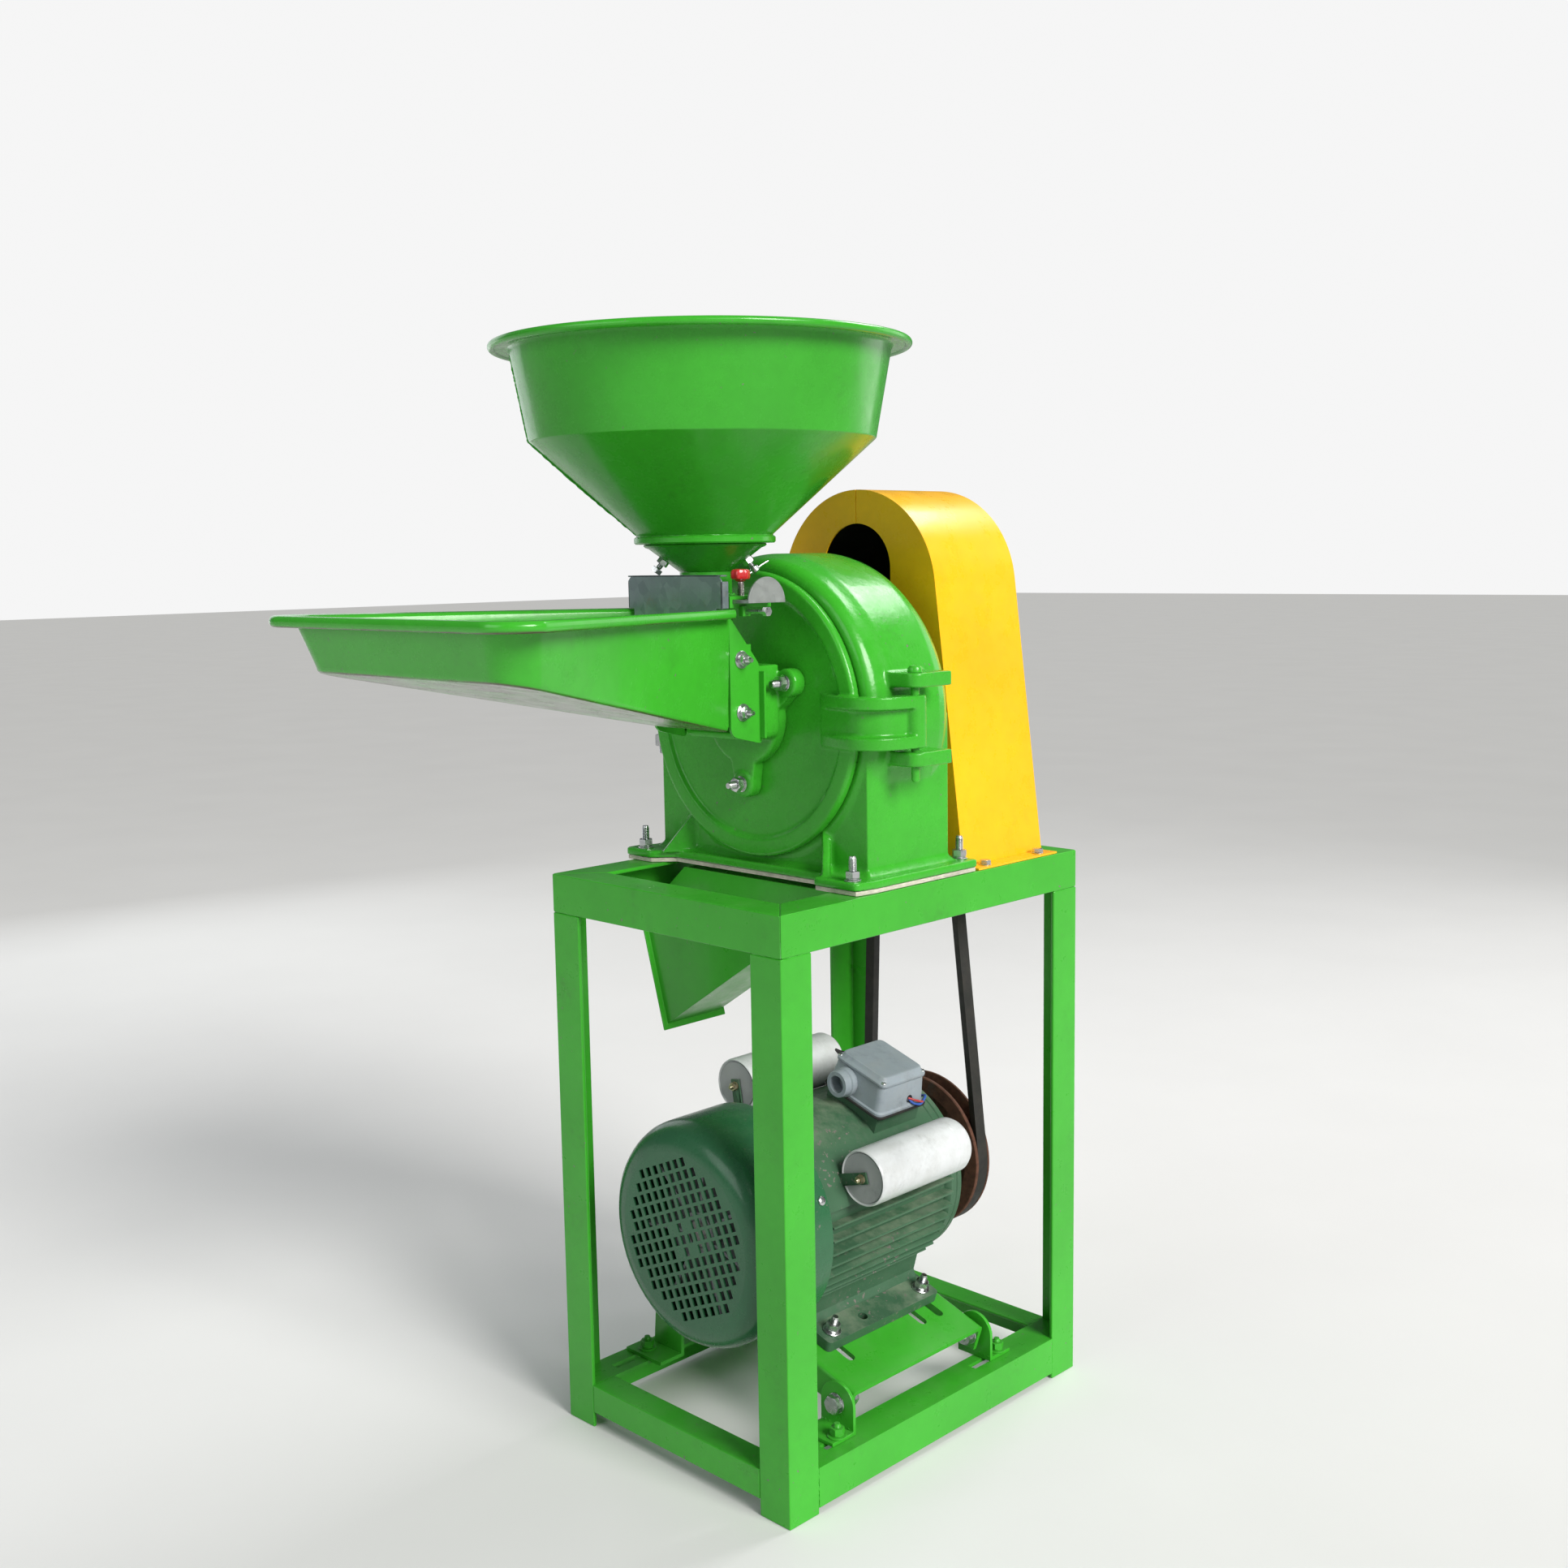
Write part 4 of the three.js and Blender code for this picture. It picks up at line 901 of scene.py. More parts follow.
def grooved(radius, bore, centre, hub, web):
    """A V-belt pulley: rim with a groove, thinner web, hub on the shaft."""
    front, back = 130.5, 153.5
    rim = radius - 18
    profile = [
        (bore, front), (hub, front), (hub + 1, front + 6), (rim, front + 6), (rim + 1.5, front),
        (radius - 1, front), (radius, front + 1), (radius, 134), (radius - 11, 137), (radius - 11, 147),
        (radius, 150), (radius, back - 1), (radius - 1, back), (rim + 1.5, back), (rim, back - 6),
        (hub + 1, back - 6), (hub, back), (bore, back),
    ]
    if not web:
        profile = [(bore, front)] + profile[5:13] + [(bore, back)]
    return lathe(profile, "y", centre, 128)


def build_drive():
    wheel = grooved(48, 15.2, (0, SHAFT_Z), 24, False)
    wheel += nut_stack(10, 0, 1.5, False).moved(aim((0, 153.5, SHAFT_Z), (0, 1, 0)))
    part("rotor_pulley_turned", wheel, RUSTY, "rotor", ["rotor_pulley"])
    wheel = grooved(85, 14.2, (0, 0), 27, True)
    part("motor_pulley_turned", wheel, RUSTY, "motor_rotor", ["motor_pulley"], MOTOR)
    x, z = MOTOR_AXIS[0] / MM, MOTOR_AXIS[2] / MM
    rise = SHAFT_Z - z
    heading = math.atan2(rise, -x)
    spread = math.acos((85 - 48) / math.hypot(rise, x))
    path = []
    wraps = (
        ((0, SHAFT_Z), 48, heading - spread, heading + spread),
        ((x, z), 85, heading + spread, heading - spread + TAU),
    )
    for centre, radius, start, end in wraps:
        for k in range(41):
            turn = start + (end - start) * k / 40
            path.append((centre, radius, (math.cos(turn), math.sin(turn))))
    stations = []
    for i, (centre, radius, out) in enumerate(path):
        stations.append((Vector((centre[0] + radius * out[0], centre[1] + radius * out[1])), out))
        if i in (40, 81):  # the straight runs, cut into short lengths
            after = path[(i + 1) % len(path)]
            goal = Vector((after[0][0] + after[1] * after[2][0], after[0][1] + after[1] * after[2][1]))
            stations += [(stations[-1][0].lerp(goal, k / 24), out) for k in range(1, 24)]
    rings = []
    for point, out in stations:
        out = Vector(out)
        section = [(-0.3, 134.4), (0, 135.2), (0, 148.8), (-0.3, 149.6), (-9.7, 146.8), (-10, 146.2),
                   (-10, 137.8), (-9.7, 137.2)]
        rings.append([(point.x + out.x * r, y, point.y + out.y * r) for r, y in section])
    belt = part("v_belt", loops(rings, closed=True), RUBBER, None, ["drive_belt"], crease=30)
    belt.parent = None
    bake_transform(belt)


# ---- Door and what hangs on it ----

DOOR_BACK, DOOR_FRONT, DOOR_FIELD = -91.3, -101, -97
FEED_Y = (span("hopper")[0].y + span("hopper")[1].y) / 2


def arm_plan(outer):
    inner = [(PIN[0] - 10, PIN[1]), (165, -76), (157, -91), (143, -97), (98, -96)]
    return spline([(96, -98.5)] + outer, 6) + inner


def build_door():
    disc = lathe(
        [(40, DOOR_BACK), (142.5, DOOR_BACK), (142.5, DOOR_FRONT + 2.5), (140, DOOR_FRONT),
         (126, DOOR_FRONT), (122, DOOR_FIELD), (40, DOOR_FIELD)],
        "y", (0, SHAFT_Z), 192,
    )
    ribs = arm_plan([(125, -108), (150, -112), (170, -104), (181, -86), (187, PIN[1])])
    web = arm_plan([(125, -103), (147, -105), (162, -98), (172, -84), (178, PIN[1])])
    arm = prism("z", ribs, (723, 735)) + prism("z", ribs, (761, 773)) + prism("z", web, (730, 766))
    arm += rod("z", 10.5, (723, 773), PIN, 48, 0.8)
    lug = carve(
        prism("y", rounded(oblong((-167, -130), (731, 767)), 4), (DOOR_FRONT, DOOR_BACK)),
        block((CLAMP[0] - 4.6, CLAMP[0] + 4.6), (-110, -80), (720, 753.6)),
    )
    body = cast(disc + arm + lug, VOXEL * 0.85, 4)
    body = carve(body, rod("z", 4.3, (700, 790), PIN))
    part("mill_door_cast", body, CAST, "door", ["mill_door"], crease=60)

    back = DOOR_FIELD + 0.6
    flange = -111
    shape = rod("y", 50, (flange, back), (0, SHAFT_Z), 96, 2)
    lugs = [(-62, 783), (62, 783), (0, 680)]
    for x, z in lugs:
        away = Vector((x, z - SHAFT_Z))
        side = Vector((-away.y, away.x)).normalized()
        tip, root = Vector((x, z)), Vector((0, SHAFT_Z))
        outline = [root - side * 26, tip - side * 12.5, tip + side * 12.5, root + side * 26]
        shape += prism("y", [tuple(p) for p in outline], (flange, back))
        shape += rod("y", 14, (flange - 1.5, back), (x, z), 48, 2)
    mouth = ranges("feed_spout")[1][0]
    bottom, top = 728, 801
    neck = prism("y", rounded(oblong((-52, 52), (bottom, top)), [12, 12, 3, 3]), (mouth, flange + 1))
    shape = carve(
        shape + neck,
        block((-46, 46), (mouth - 1, flange - 3), (bottom + 6, top + 1)),
        rod("y", 32, (mouth - 1, -80), (0, 767), 64),
    )
    part("feed_spout_cast", cast(shape, VOXEL * 0.8, 4), CAST, "door", ["feed_spout"], crease=60)
    spots = [((x, flange - 1.6, z), (0, -1, 0)) for x, z in lugs]
    part("spout_bolts", placed(nut_stack(8, 9), spots), ZINC, "door")


def build_cheeks():
    plan = rounded([(-178, 850), (-178, 736), (-137, 726), (-137, 800)], [5, 9, 6, 10])
    for node, side in (("cheek_right", 1), ("cheek_left", -1)):
        reach = sorted((side * 52.3, side * 55.3))
        plate = prism("x", plan, reach)
        flap = block(sorted((side * 52.3, side * 62)), (-140, -137.4), (732, 796))
        part(node + "_plate", plate + flap, STAND, "door", [node], edge=0.7, segments=2)
        spots = [((side * 55.3, y, z), (side, 0, 0)) for y, z in ((-163, 808), (-162, 758))]
        part(node + "_bolts", placed(nut_stack(6, 7, 1.7), spots), ZINC, "door")


def tray_ring(half_back, back, half_front, front, radius, level, steps=12):
    """The tray's plan from its right mill end round both front corners to its left mill end."""
    centre = (half_front - radius, front + radius)
    right = [(half_back, back)]
    for k in range(1, 9):
        t = k / 9
        right.append((half_back + (half_front - half_back) * t, back + (centre[1] - back) * t))
    right += arc(centre, radius, 0, -90, steps)
    plan = right + [(-x, y) for x, y in reversed(right)]
    return [(x, y, level(y) if callable(level) else level) for x, y in plan]


def build_tray():
    rim = ranges("feed_tray")[2][1]
    slope = 72 / 323
    floor = lambda lift: (lambda y: 741 + lift + slope * (-180 - y))

    def wall(t, level):
        """The ring a share t of the way up the sides."""
        return tray_ring(52 + 9 * t, -180 - 4 * t, 152 + 14 * t, -503 - 12 * t, 30 + 4 * t, level)

    def flange(t, level):
        """The ring a share t of the way out across the rim."""
        return tray_ring(61 + 15 * t, -184 - 5 * t, 166 + 22 * t, -515 - 15 * t, 34 + 2 * t, level)

    skin = []
    for inward, lift in ((4.5, 0.0), (2.0, 0.4), (0.6, 1.6), (0.1, 4)):
        skin.append(tray_ring(52 - inward, -180, 152 - inward, -503 + inward, 30 - inward / 2, floor(lift)))
    for t in (0.25, 0.5, 0.75, 0.93):
        low, high = floor(4), rim - 5
        skin.append(wall(t, lambda y, t=t: low(y) + (high - low(y)) * t))
    skin.append(wall(1.0, rim - 3.5))
    for t, drop in ((0.08, 1.6), (0.24, 0.6), (0.6, 0.0)):
        skin.append(flange(t, rim - drop))
    roll = 3.6
    for turn in (math.radians(90 - 27 * k) for k in range(12)):
        skin.append(flange(0.81 + 0.16 * math.cos(turn), rim - roll + roll * math.sin(turn)))
    count = len(skin[0])
    faces = []
    for j in range(len(skin) - 1):
        faces += [(j * count + i, j * count + i + 1, (j + 1) * count + i + 1, (j + 1) * count + i)
                  for i in range(count - 1)]
    faces += [(i, i + 1, count - 2 - i, count - 1 - i) for i in range(count // 2 - 1)]

    def thicken(tool):
        sheet = tool.modifiers.new("sheet", "SOLIDIFY")
        sheet.thickness = 1.4
        sheet.offset = 0.0
        sheet.use_even_offset = True

    shape = worked(Shape([p for ring in skin for p in ring], faces), thicken)
    front = min(p.y for p in shape.points)
    shape = shape.at(y=max(0.0, ranges("feed_tray")[1][0] - front))
    for point in shape.points:
        share = (-184 - point.y) / 346
        height = (point.z - floor(0)(point.y)) / (rim - floor(0)(point.y))
        point.z += (0.6 + 3.4 * share) * height - 3 * share * (1 - height)
    for side in (-1, 1):
        shape += block(sorted((side * 49.8, side * 52)), (-192, -154), (745, 820))
    part("feed_tray_sheet", shape, TRAY, "door", ["feed_tray"], crease=50)

    rim += 1.4
    lower, upper = 842, 888
    right = [(58, lower), (58, rim + 0.4), (66, rim + 0.4), (66, upper - 5), (61, upper)]
    face = right + [(-x, z) for x, z in reversed(right)]
    guard = prism("y", face, (-197, -195.6))
    hem = [(-66, -197), (66, -197), (66, -190), (58, -183), (-58, -183), (-66, -190)]
    guard += prism("z", hem, (upper - 1.4, upper))
    for side in (-1, 1):
        guard += block(sorted((side * 64.6, side * 66)), (-197, -188), (rim + 0.6, upper - 6))
    part("tray_guard_sheet", guard, GALVANISED, "door", ["tray_guard"], edge=0.35, segments=2)


def build_feed():
    neck = pipe("z", 21.4, 25, (806, 890.6), (0, FEED_Y), 96)
    slot = block((-27, 62), (FEED_Y - 23.4, FEED_Y + 23.4), (861.2, 864.8))
    channel = carve(
        block((-34, 61), (FEED_Y - 27, FEED_Y + 27), (857, 868)),
        slot,
        rod("z", 21.4, (850, 880), (0, FEED_Y), 96),
        rod("z", 4.2, (864, 870), (48, FEED_Y), 32),
    )
    shape = combine(channel, carve(neck, slot), "UNION")
    for side in (-1, 1):
        shape += block(sorted((side * 23, side * 52)), (FEED_Y - 3, FEED_Y + 3), (806, 822))
        shape += block(sorted((side * 49, side * 52)), (-176, FEED_Y + 8), (798, 822))
    part("gate_box_sheet", shape, STAND, "door", ["gate_box"], edge=0.9, segments=3)
    seat = [(x, y, 868.3) for x, y in arc((0, FEED_Y), 26.5, 0, 360, 40)]
    part("gate_box_weld", tube(seat, 1.7, 10, 0.9, 2.6), STAND, "door")
    moon = [(FEED_Y + 24, 861.5)] + arc((FEED_Y, 861.8), 24, 0, 180, 32)
    gate = block((-26.7, 82.6), (FEED_Y - 23, FEED_Y + 23), (861.5, 864.5)) + prism("x", moon, (81.4, 83.4))
    part("slide_gate_plate", gate, GATE_METAL, "gate", ["slide_gate"], edge=0.5)
    bend = tube([(65, FEED_Y - 10, 853.4), (76, FEED_Y - 10, 853.4), (90, FEED_Y - 10, 853.8)], 2.2, 16)
    head = hexagon(8, 5).moved(aim((90, FEED_Y - 10, 853.8), (1, 0, 0)))
    lug = block((60, 66), (FEED_Y - 15, FEED_Y - 5), (849, 859))
    part("channel_screw", bend + head, ZINC, "door")
    part("channel_lug", lug, STAND, "door", edge=0.6)

    x, y = [(a + b) / 2 for a, b in ranges("gate_knob")[:2]]
    sides, top = 72, ranges("gate_knob")[2][1]
    rings = []
    outline = [(4.6, 881.6), (5.6, 883), (8.4, 883.6), (9.5, 885.4), (9.5, 890), (8.2, 892.3), (5, top),
               (4.4, top - 0.8), (0.01, top - 0.8)]
    for radius, z in outline:
        wave = 0.11 if radius > 8 else 0.0
        rings.append([
            (x + r * math.cos(t), y + r * math.sin(t), z)
            for t in (i * TAU / sides for i in range(sides))
            for r in (radius * (1 - wave * (0.5 - 0.5 * math.cos(6 * t))),)
        ])
    part("gate_knob_head", loops(rings), RED, "knob", ["gate_knob"])
    part("gate_knob_stem", thread(3.6, (865, 882)).at(x, y), BRIGHT, "knob")

    low, high = ranges("funnel")[2]
    profile = [(22.4, low), (25, low), (54.2, 913), (57.6, 914.2), (59.4, 915.8), (58.6, high),
               (50.5, high), (22.4, low + 3)]
    cone = lathe(profile, "z", (0, FEED_Y), 128)
    part("funnel_sheet", cone, HOPPER, "door", ["funnel"], edge=0.5, crease=35)
    slant = Vector((0.615, 0, -0.788))
    spots = []
    for azimuth in (225, 45):
        turn = Matrix.Rotation(math.radians(azimuth), 3, "Z")
        place_at = turn @ Vector((39.6, 0, 902.2)) + Vector((0, FEED_Y, 0))
        spots.append((place_at, turn @ slant))
    pieces = placed(thread(3, (-6, 10), 1.0), spots) + placed(hexagon(10, 5, 2.8), spots)
    head = hexagon(10, 4.6).at(z=10).moved(aim(*spots[0]))
    grip = aim(*spots[1]) @ Matrix.Rotation(math.radians(70), 4, "Z")
    bar = tube(spline([(-19, 0, 10.5), (-8, 0, 12.5), (0, 0, 13), (9, 0, 13.4), (16, 0, 14.4)]), 1.3, 12)
    ball = rod("z", 4.4, (9.4, 16), (0, 0), 24, 1.2)
    part("funnel_clamp_screws", pieces + head + (bar + ball).moved(grip), ZINC, "door")

    bottom, rim = ranges("hopper")[2]
    roll = 3.7
    curl = arc((196.3, rim - roll), roll, -150, 150, 20)
    outside = [(50, bottom), (66.6, bottom), (68, bottom + 1.4), (68, bottom + 5.4), (66.6, bottom + 6.8),
               (64.6, bottom + 7.2), (164.6, 1013.6), (165.6, 1015), (180.2, 1096), (182.2, 1099.4),
               (185, 1100.4)]
    inside = [(185, 1102.4), (180, 1101.6), (178.4, 1097), (163.6, 1016.2), (62.6, bottom + 9),
              (50, bottom + 6.8)]
    part("hopper_sheet", lathe(outside + curl + inside, "z", (0, FEED_Y), 192), HOPPER, "door", ["hopper"],
         crease=28)
    turn = math.radians(236)
    seam = []
    for r, z in ((66, bottom + 9), (115.6, 969), (165.2, 1014), (172.6, 1055), (179.8, 1095)):
        seam.append((r * math.cos(turn), FEED_Y + r * math.sin(turn), z))
    joint = [tuple(Vector(a).lerp(Vector(b), k / 24)) for a, b in zip(seam, seam[1:]) for k in range(24)]
    part("hopper_seam", tube(joint, 1.1, 10, 0.7, 2.2), HOPPER, "door")
    collar = [(x, y, bottom + 7.4) for x, y in arc((0, FEED_Y), 64.2, 0, 360, 160)]
    part("hopper_collar_weld", tube(collar, 1.3, 8, 0.8, 2.4), HOPPER, "door")


def build_clamp():
    x, y = CLAMP
    ring = [(3.3, x - 4), (7.2, x - 4), (8, x - 3), (8, x + 3), (7.2, x + 4), (3.3, x + 4)]
    eye = lathe(ring, "x", (y, 749), 48)
    shank = thread(3.9, (697, 730)).at(x, y) + rod("z", 3.9, (728, 743), (x, y), 24)
    part("clamp_eye_bolt", eye + shank, ZINC, "clamp", ["clamp_bolt"])
    low, high = ranges("clamp_nut")[2]
    part("clamp_hex_nut", hexagon(13.6, high - low, 4.15).at(x, y, low), ZINC, "nut", ["clamp_nut"])


# ---- Motor, drawn in its own space ----

FRAME = ranges("motor_frame", MOTOR)
PLATE_TOP = ranges("motor_plate", MOTOR)[2][1]


def motor_part(name, shape, paint, replaces=(), body="motor", **settings):
    return part(name, shape, paint, body, replaces, MOTOR, **settings)


def fin(angle, outer, reach):
    """A cooling fin along the motor, thinner at its tip."""
    root = 90
    section = [(root, -2.3), (outer - 1, -1.3), (outer, -0.6), (outer, 0.6), (outer - 1, 1.3), (root, 2.3)]
    turn = math.radians(angle)
    along, across = math.cos(turn), math.sin(turn)
    plan = [(r * along - s * across, r * across + s * along) for r, s in section]
    return prism("y", plan, reach)


def build_motor_frame():
    back = FRAME[1][1]
    barrel = lathe(
        [(84, -136), (97.6, -136), (98.5, -135), (98.5, -118), (96, -115), (92.4, -113), (92.4, 66),
         (96, 68), (98.5, 71), (98.5, back - 1), (97.6, back), (84, back)],
        "y", (0, 0), 160,
    )
    barrel += pipe("y", 18, 97, (-145, -135), (0, 0), 96)
    crown = arc((0, 0), 98.4, 30, 150, 40) + arc((0, 0), 90, 150, 30, 40)
    barrel += prism("y", crown, (-116, 69))
    for angle in range(-58, 24, 8):
        for turned in (angle, 180 - angle):
            barrel += fin(turned, 103.5, (-116, 69))
    feet = Shape()
    for side in (-1, 1):
        foot = rounded(oblong(sorted((side * 58, side * 109.5)), (-92, back)), 6)
        feet += prism("z", foot, (PLATE_TOP + 0.3, PLATE_TOP + 11.5))
        web = [(60, PLATE_TOP + 10), (79, PLATE_TOP + 10), (73, PLATE_TOP + 19), (72, -62), (58, -68)]
        feet += prism("y", [(side * a, b) for a, b in web], (-88, back - 4))
    holes = [rod("z", 5.4, (PLATE_TOP - 2, PLATE_TOP + 14), (side * 95, -28), 24) for side in (-1, 1)]
    barrel += carve(feet, *holes)
    barrel += block((-28, 43), (-18, 48), (80, 109.4))
    motor_part("motor_frame_cast", barrel, MOTOR_PAINT, ["motor_frame"], edge=0.5, segments=2, crease=45)

    shield = lathe(
        [(18, back + 0.3), (97.6, back + 0.3), (98.5, back + 1.2), (98.5, back + 7), (96.5, back + 9),
         (66, back + 15), (62, back + 18), (42, back + 24), (40, back + 26), (20, back + 26),
         (18, back + 25)],
        "y", (0, 0), 128,
    )
    for x, z in arc((0, 0), 88, 45, 315, 3):
        shield += rod("y", 9, (back + 2, back + 13), (x, z), 32, 1.2)
        shield += bolt_head(6).moved(aim((x, back + 13, z), (0, 1, 0)))
    motor_part("motor_end_shield_cast", shield, MOTOR_PAINT, ["motor_end_shield"])

    spots = [((side * 95, y, PLATE_TOP + 11.5), (0, 0, 1)) for side in (-1, 1) for y in (-75, 65)]
    motor_part("motor_foot_bolts", placed(nut_stack(8, 8, 1.5), spots), ZINC)
    below = [((side * 95, y, PLATE_TOP - 5), (0, 0, -1)) for side in (-1, 1) for y in (-75, 65)]
    motor_part("motor_foot_bolt_heads", placed(bolt_head(8), below), ZINC)


def build_plate():
    (left, right), (front, back), (low, top) = ranges("motor_plate", MOTOR)
    wall = 5
    slots = []
    for y in (-75, 38, 65):
        for side in (-1, 1):
            plan = arc((side * 125, y), 5, -90 if side > 0 else 90, 90 if side > 0 else 270, 10)
            plan += arc((side * 89, y), 5, 90 if side > 0 else 270, 270 if side > 0 else 450, 10)
            slots.append(prism("z", plan, (top - wall - 1, top + 1)))
    hinge = MOTOR.inverted() @ Vector(JOINTS["plate_tilt"]["pos_m"])
    tension = [(a + b) / 2 for a, b in ranges("tension_bolt_front", MOTOR)]
    pivots = ((hinge.x, hinge.z), (tension[0], tension[2]))
    holes = [rod("y", 5.3, (front - 1, back + 1), centre) for centre in pivots]
    section = [(front, low), (front + wall, low), (front + wall, top - wall), (back - wall, top - wall),
               (back - wall, low), (back, low), (back, top), (front, top)]
    section = rounded(section, [0.8, 0.8, 1.6, 1.6, 0.8, 0.8, 5, 5], 4)
    plate = carve(prism("x", section, (left, right)), *slots, *holes)
    motor_part("motor_plate_bent", plate, STAND, ["motor_plate"], edge=0.6)
    for end, way, face in (("front", -1, -120), ("rear", 1, 101)):
        for node, body in ((f"hinge_bolt_{end}", "stand"), (f"tension_bolt_{end}", "motor")):
            space = MILL if body == "stand" else MOTOR
            centre = [(a + b) / 2 for a, b in ranges(node, space)]
            inside = -107 if way < 0 else 88
            spot = (centre[0], face + way * 0.1, centre[2])
            shape = bolt_head(10).moved(aim(spot, (0, way, 0)))
            nut = nut_stack(10, 3, 1.24, False).moved(aim((centre[0], inside, centre[2]), (0, -way, 0)))
            shape += nut + rod("y", 4.7, sorted((face, inside)), (centre[0], centre[2]), 24, 0)
            part(node + "_set", shape, ZINC, body, [node], space)


def build_cowl():
    low = ranges("fan_cowl", MOTOR)[1][0]
    shell = lathe(
        [(86, low), (89, low + 0.1), (95, low + 1.2), (101, low + 3.6), (107, low + 8.2), (111, low + 14.5),
         (113.4, low + 21), (114, low + 27), (114, -129), (113.2, -128), (112.4, -128.4), (112.2, low + 26),
         (109.4, low + 16), (105.6, low + 10), (99.6, low + 5.6), (93, low + 3), (86, low + 2)],
        "y", (0, 0), 160,
    )
    disc = rod("y", 87.5, (low, low + 2), (0, 0), 128, 0)
    turn = Matrix.Rotation(-math.radians(42), 4, "Y")
    cells = Shape()
    for i in range(-8, 9):
        for j in range(-7, 8):
            u, v = i * 11, j * 12
            if math.hypot(abs(u) + 2.5, abs(v) + 3.5) > 84 or (abs(i) < 2 and abs(j) < 2 and i and j):
                continue
            cells += block((u - 3.3, u + 3.3), (low - 1, low + 3), (v - 4.3, v + 4.3))
    face = combine(disc, cells.moved(turn), "DIFFERENCE")
    motor_part("fan_cowl_pressing", shell + face, COWL_PAINT, ["fan_cowl"], crease=40)
    screw = cross_screw(4.6)
    spots = []
    for angle in (40, 150, 270):
        out = Vector((math.cos(math.radians(angle)), 0, math.sin(math.radians(angle))))
        spots.append((out * 114 + Vector((0, -137, 0)), out))
    motor_part("cowl_screws", placed(screw, spots), ZINC)
    for node, paint in (("motor_stator", DARK_IRON), ("motor_shaft", BRIGHT), ("motor_fan", END_GREY)):
        refined(node, paint, 0.6)


def strip(start, end, half_width, thickness):
    """A flat bar from start to end."""
    face = [start - half_width, start + half_width, end + half_width, end - half_width]
    return loops([face, [p + thickness for p in face]])


def build_capacitors():
    front, back = ranges("capacitor_right", MOTOR)[1]
    radius, reach = 28.5, 93
    level = 87
    for node, side in (("capacitor_right", 1), ("capacitor_left", -1)):
        can = [(0, front + 2.4), (radius - 3.4, front + 2.4), (radius - 2.6, front + 0.8),
               (radius - 1.4, front), (radius - 0.4, front + 1), (radius, front + 3), (radius, back - 24),
               (radius - 0.5, back - 23), (radius - 0.5, back - 21), (radius, back - 20),
               (radius, back - 6), (radius - 2, back - 2), (radius - 6, back), (0, back)]
        motor_part(node + "_can", lathe(can, "y", (side * reach, level), 96), PALE, [node])
        cap = [(0, front + 0.6), (4, front + 0.6), (5, front + 1.4), (radius - 5, front + 1.4),
               (radius - 3.6, front + 0.9), (radius - 3.6, front + 3), (0, front + 3)]
        motor_part(node + "_end", lathe(cap, "y", (side * reach, level), 96), END_GREY)
        tilt = math.radians(214 if side > 0 else -62)
        along = Vector((math.cos(tilt), 0, math.sin(tilt)))
        across = Vector((-along.z, 0, along.x))
        middle = Vector((side * reach, front - 1.2, level))
        tip = middle - along * 7
        foot = middle + along * 31
        wide = across * 6
        strap = strip(tip, foot, wide, Vector((0, 1.8, 0)))
        strap += strip(foot, foot + Vector((0, 18, 0)), wide, along * 1.8)
        motor_part(node + "_strap", strap, MOTOR_PAINT, edge=0.5)
        screw = nut_stack(5, 3.4, 1.2, False).moved(aim(tuple(middle), (0, -1, 0)))
        motor_part(node + "_screw", screw, BRASS)


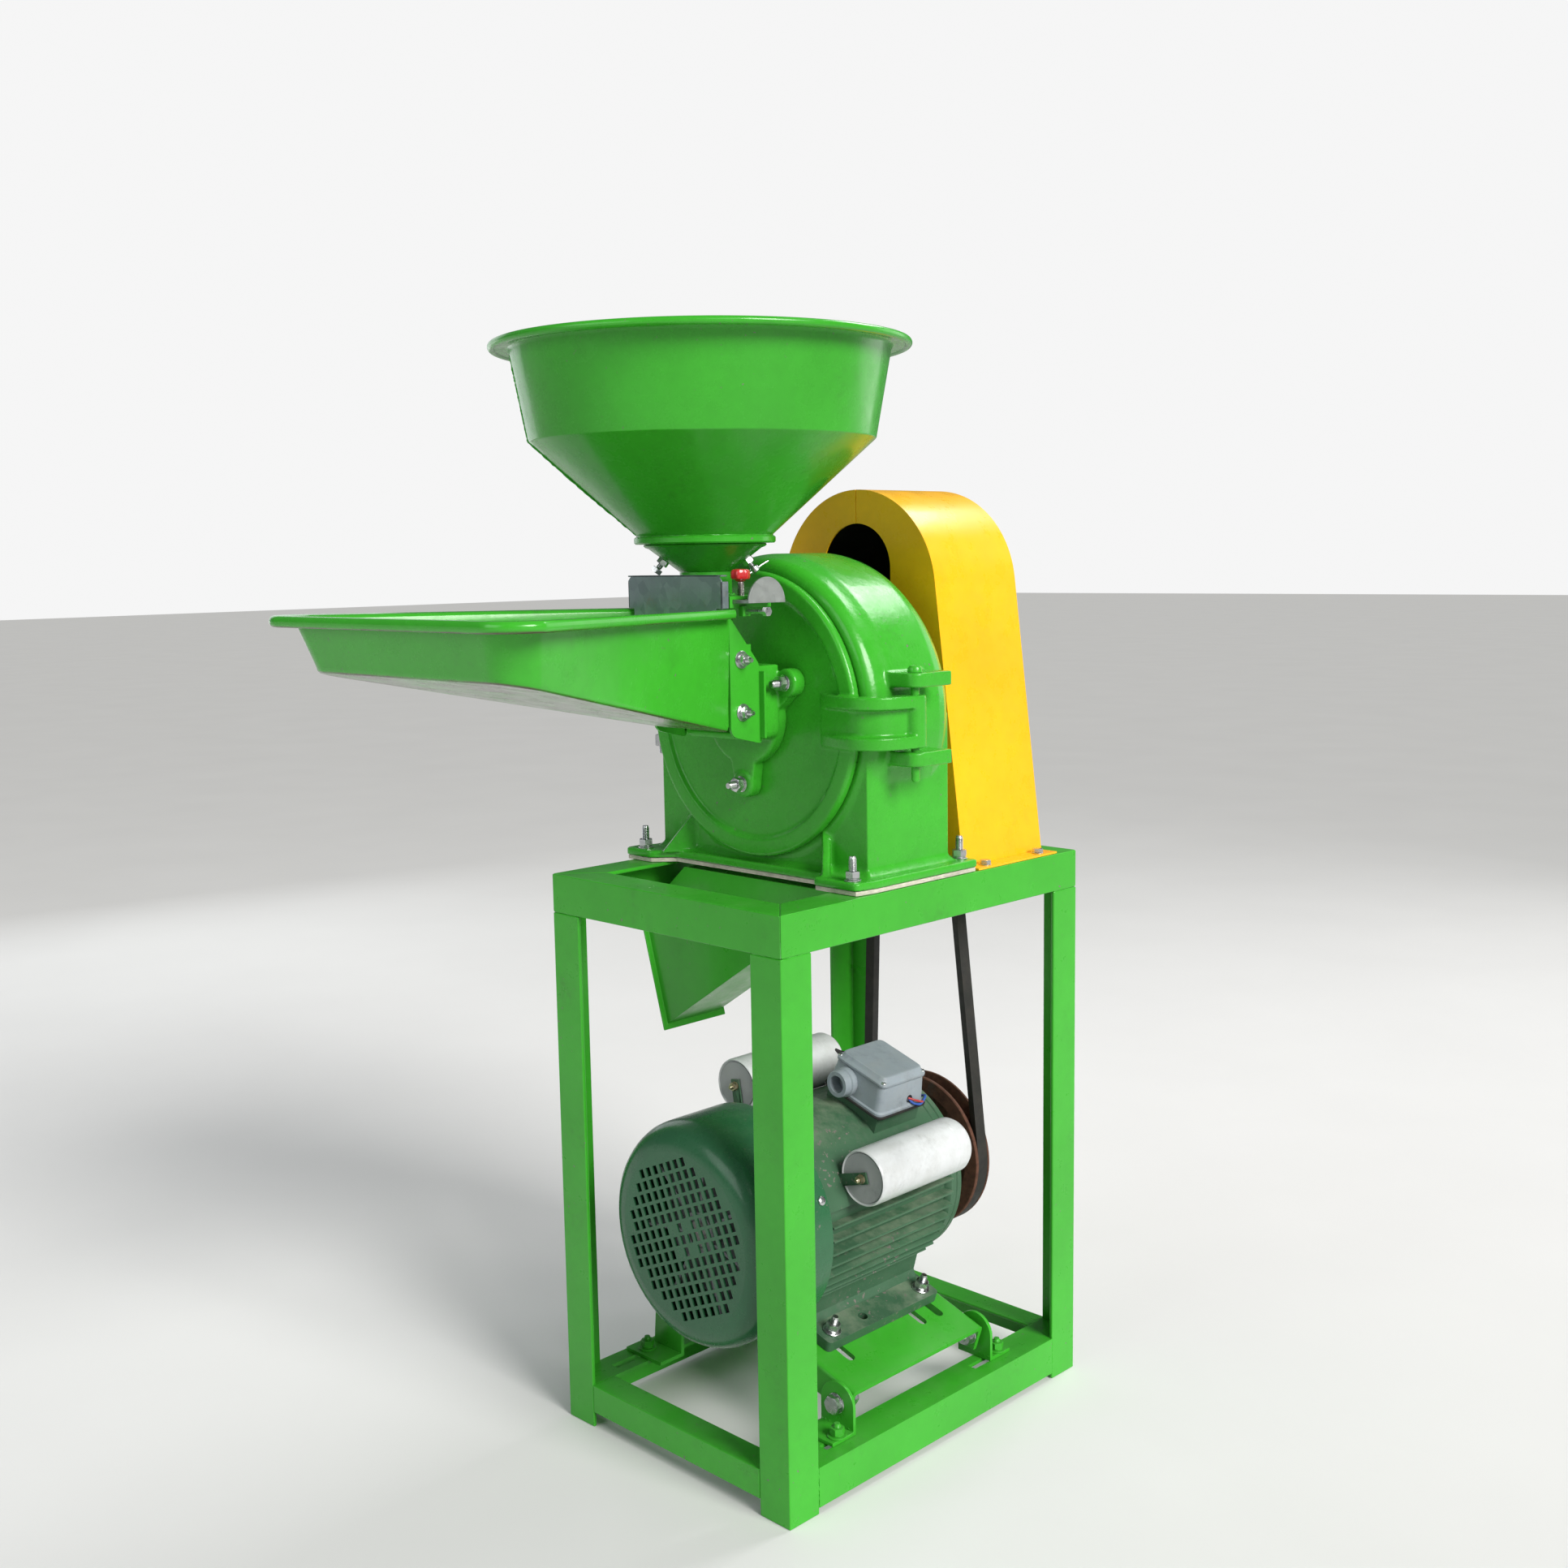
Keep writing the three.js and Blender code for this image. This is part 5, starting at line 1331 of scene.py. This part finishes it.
def build_terminals():
    ring = lambda xs, ys, z, r: [(x, y, z) for x, y in rounded(oblong(xs, ys), r, 6)]
    levels = [
        ((-32, 47), (-22, 52), 110, 9),
        ((-32, 47), (-22, 52), 112.5, 9),
        ((-30.5, 45.2), (-20.6, 50.6), 114, 9),
        ((-27.4, 40.6), (-18.4, 48.4), 139.4, 8),
        ((-28.6, 41.8), (-19.6, 49.6), 140.8, 8),
        ((-28.6, 41.8), (-19.6, 49.6), 143.2, 8),
        ((-26.6, 39.6), (-17.6, 47.6), 145, 8),
        ((-25.4, 38.4), (-16.4, 46.4), 146, 8),
        ((-24, 37), (-15, 45), 149, 7),
        ((-22, 35), (-13, 43), 150, 6),
    ]
    split = 4  # the box ends and the lid starts at this level
    box = loops([ring(*level) for level in levels[: split + 1]])
    collar = [(9.2, -35), (13.2, -35), (14, -34), (14, -27), (15.4, -26), (15.4, -18), (9.2, -18)]
    gland = lathe(collar, "y", (-6, 124), 64)
    mouth = rod("y", 9.2, (-36, -19), (-6, 124), 48, 0)
    side_hole = rod("x", 4.6, (36, 50), (26, 119), 32, 0)
    box = carve(combine(box, gland, "UNION"), mouth, side_hole)
    box += lathe([(0, -20.4), (9.1, -20.4), (9.1, -19.4), (0, -19.4)], "y", (-6, 124), 48)
    motor_part("terminal_box_shell", box, GREY, ["terminal_box"], edge=0.4)
    lid = loops([ring(*level) for level in levels[split:]]).at(z=0.25)
    motor_part("terminal_lid_shell", lid, GREY, ["terminal_lid"], edge=0.3)
    lug_spots = [((x, y, 144.4), (0, 0, 1)) for x in (-24.5, 37.5) for y in (-15.5, 45.5)]
    motor_part("terminal_lid_screws", placed(cross_screw(2.6), lug_spots), ZINC)
    flange = prism("z", rounded(oblong((-34, 49), (-24, 54)), 9), (108.2, 110.2))
    motor_part("terminal_box_gasket", flange, RUBBER, edge=0.3)
    blue = spline([(43, 26, 119), (48, 30, 115), (50, 40, 113), (45, 52, 116), (38, 56, 112),
                   (30, 60, 104), (24, 66, 98)])
    red = spline([(43, 25, 120), (49, 33, 118), (49, 44, 114), (42, 54, 110), (36, 60, 101),
                  (33, 66, 97.5)])
    motor_part("blue_lead", tube(blue, 1.3, 12), BLUE_WIRE)
    motor_part("red_lead", tube(red, 1.2, 12), RED_WIRE)
    black = spline([(-24, 40, 124), (-36, 44, 122), (-48, 47, 118), (-60, 48, 112), (-68, 44, 108),
                    (-76, 40, 108)])
    motor_part("black_lead", tube(black, 2.3, 14), RUBBER)


# ---- Studio ----


def build_studio():
    corners = [(-30, -30), (30, -30), (30, 30), (-30, 30)]
    floor = loops([[(x, y, z) for x, y in corners] for z in (-0.02, 0)])
    mesh = new_mesh("floor", floor.points, floor.faces)
    n = Nodes("pale_floor")
    tone = n.mix(n.ramp(n.noise(3.0, 4.0), 0.3, 0.7), (0.735, 0.735, 0.73), (0.755, 0.755, 0.75))
    n.link(tone, n.shader.inputs["Base Color"])
    n.shader.inputs["Roughness"].default_value = 0.75
    mesh.materials.append(n.material)
    added("floor", mesh)

    world = bpy.data.worlds.new("studio")
    bpy.context.scene.world = world
    world.use_nodes = True
    tree = world.node_tree
    soft = tree.nodes["Background"]
    soft.inputs["Color"].default_value = (0.9, 0.95, 1.0, 1.0)
    soft.inputs["Strength"].default_value = 0.12
    backdrop = tree.nodes.new("ShaderNodeBackground")
    backdrop.inputs["Color"].default_value = (1.0, 1.0, 1.0, 1.0)
    backdrop.inputs["Strength"].default_value = 0.92
    seen = tree.nodes.new("ShaderNodeLightPath")
    choose = tree.nodes.new("ShaderNodeMixShader")
    tree.links.new(seen.outputs["Is Camera Ray"], choose.inputs["Fac"])
    tree.links.new(soft.outputs["Background"], choose.inputs[1])
    tree.links.new(backdrop.outputs["Background"], choose.inputs[2])
    tree.links.new(choose.outputs["Shader"], tree.nodes["World Output"].inputs["Surface"])

    sun = bpy.data.lights.new("key", "SUN")
    sun.energy = 3.9
    sun.angle = math.radians(28)
    sun.color = (1.0, 0.985, 0.95)
    added("key", sun).rotation_euler = Vector((1.0, -0.06, 0.6)).to_track_quat("Z", "Y").to_euler()

    target = Vector((0, 0, 0.6))
    lights = (
        ("front_fill", (-0.5, -3.2, 1.9), (2.2, 1.8), 30, (0.95, 0.98, 1.0)),
        ("window", (2.6, -1.7, 2.3), (0.7, 1.0), 7, (1.0, 1.0, 1.0)),
        ("overhead", (0.2, 1.7, 2.6), (1.0, 0.7), 26, (1.0, 1.0, 1.0)),
        ("left_fill", (-3.0, 0.6, 1.4), (1.8, 1.8), 12, (0.95, 0.98, 1.0)),
        ("back_fill", (0.6, 3.2, 1.5), (1.8, 1.6), 14, (1.0, 1.0, 1.0)),
    )
    for name, position, size, power, colour in lights:
        lamp = bpy.data.lights.new(name, "AREA")
        lamp.shape = "RECTANGLE"
        lamp.size, lamp.size_y = size
        lamp.energy = power
        lamp.color = colour
        holder = added(name, lamp)
        holder.location = position
        holder.rotation_euler = (target - Vector(position)).to_track_quat("-Z", "Y").to_euler()


def build_camera():
    azimuth, pitch, roll = math.radians(44.705), math.radians(7.501), math.radians(-0.944)
    level = math.cos(pitch)
    forward = Vector((-math.sin(azimuth) * level, math.cos(azimuth) * level, -math.sin(pitch)))
    right = Vector((math.cos(azimuth), math.sin(azimuth), 0))
    up = right.cross(forward)
    across = right * math.cos(roll) + up * math.sin(roll)
    upward = up * math.cos(roll) - right * math.sin(roll)
    turn = Matrix((across, upward, -forward)).transposed().to_4x4()
    lens = bpy.data.cameras.new("camera")
    lens.sensor_width = 36
    lens.lens = 39.86
    camera = added("camera", lens)
    camera.matrix_world = Matrix.Translation(MILL @ Vector((1236.5, -1301.9, 905.1))) @ turn
    bpy.context.scene.camera = camera
    bpy.context.scene.view_settings.view_transform = "Standard"


build_camera()
build_stand()
build_casing()
build_inside()
build_cover()
build_drive()
build_door()
build_cheeks()
build_tray()
build_feed()
build_clamp()
build_motor_frame()
build_plate()
build_cowl()
build_capacitors()
build_terminals()
build_studio()
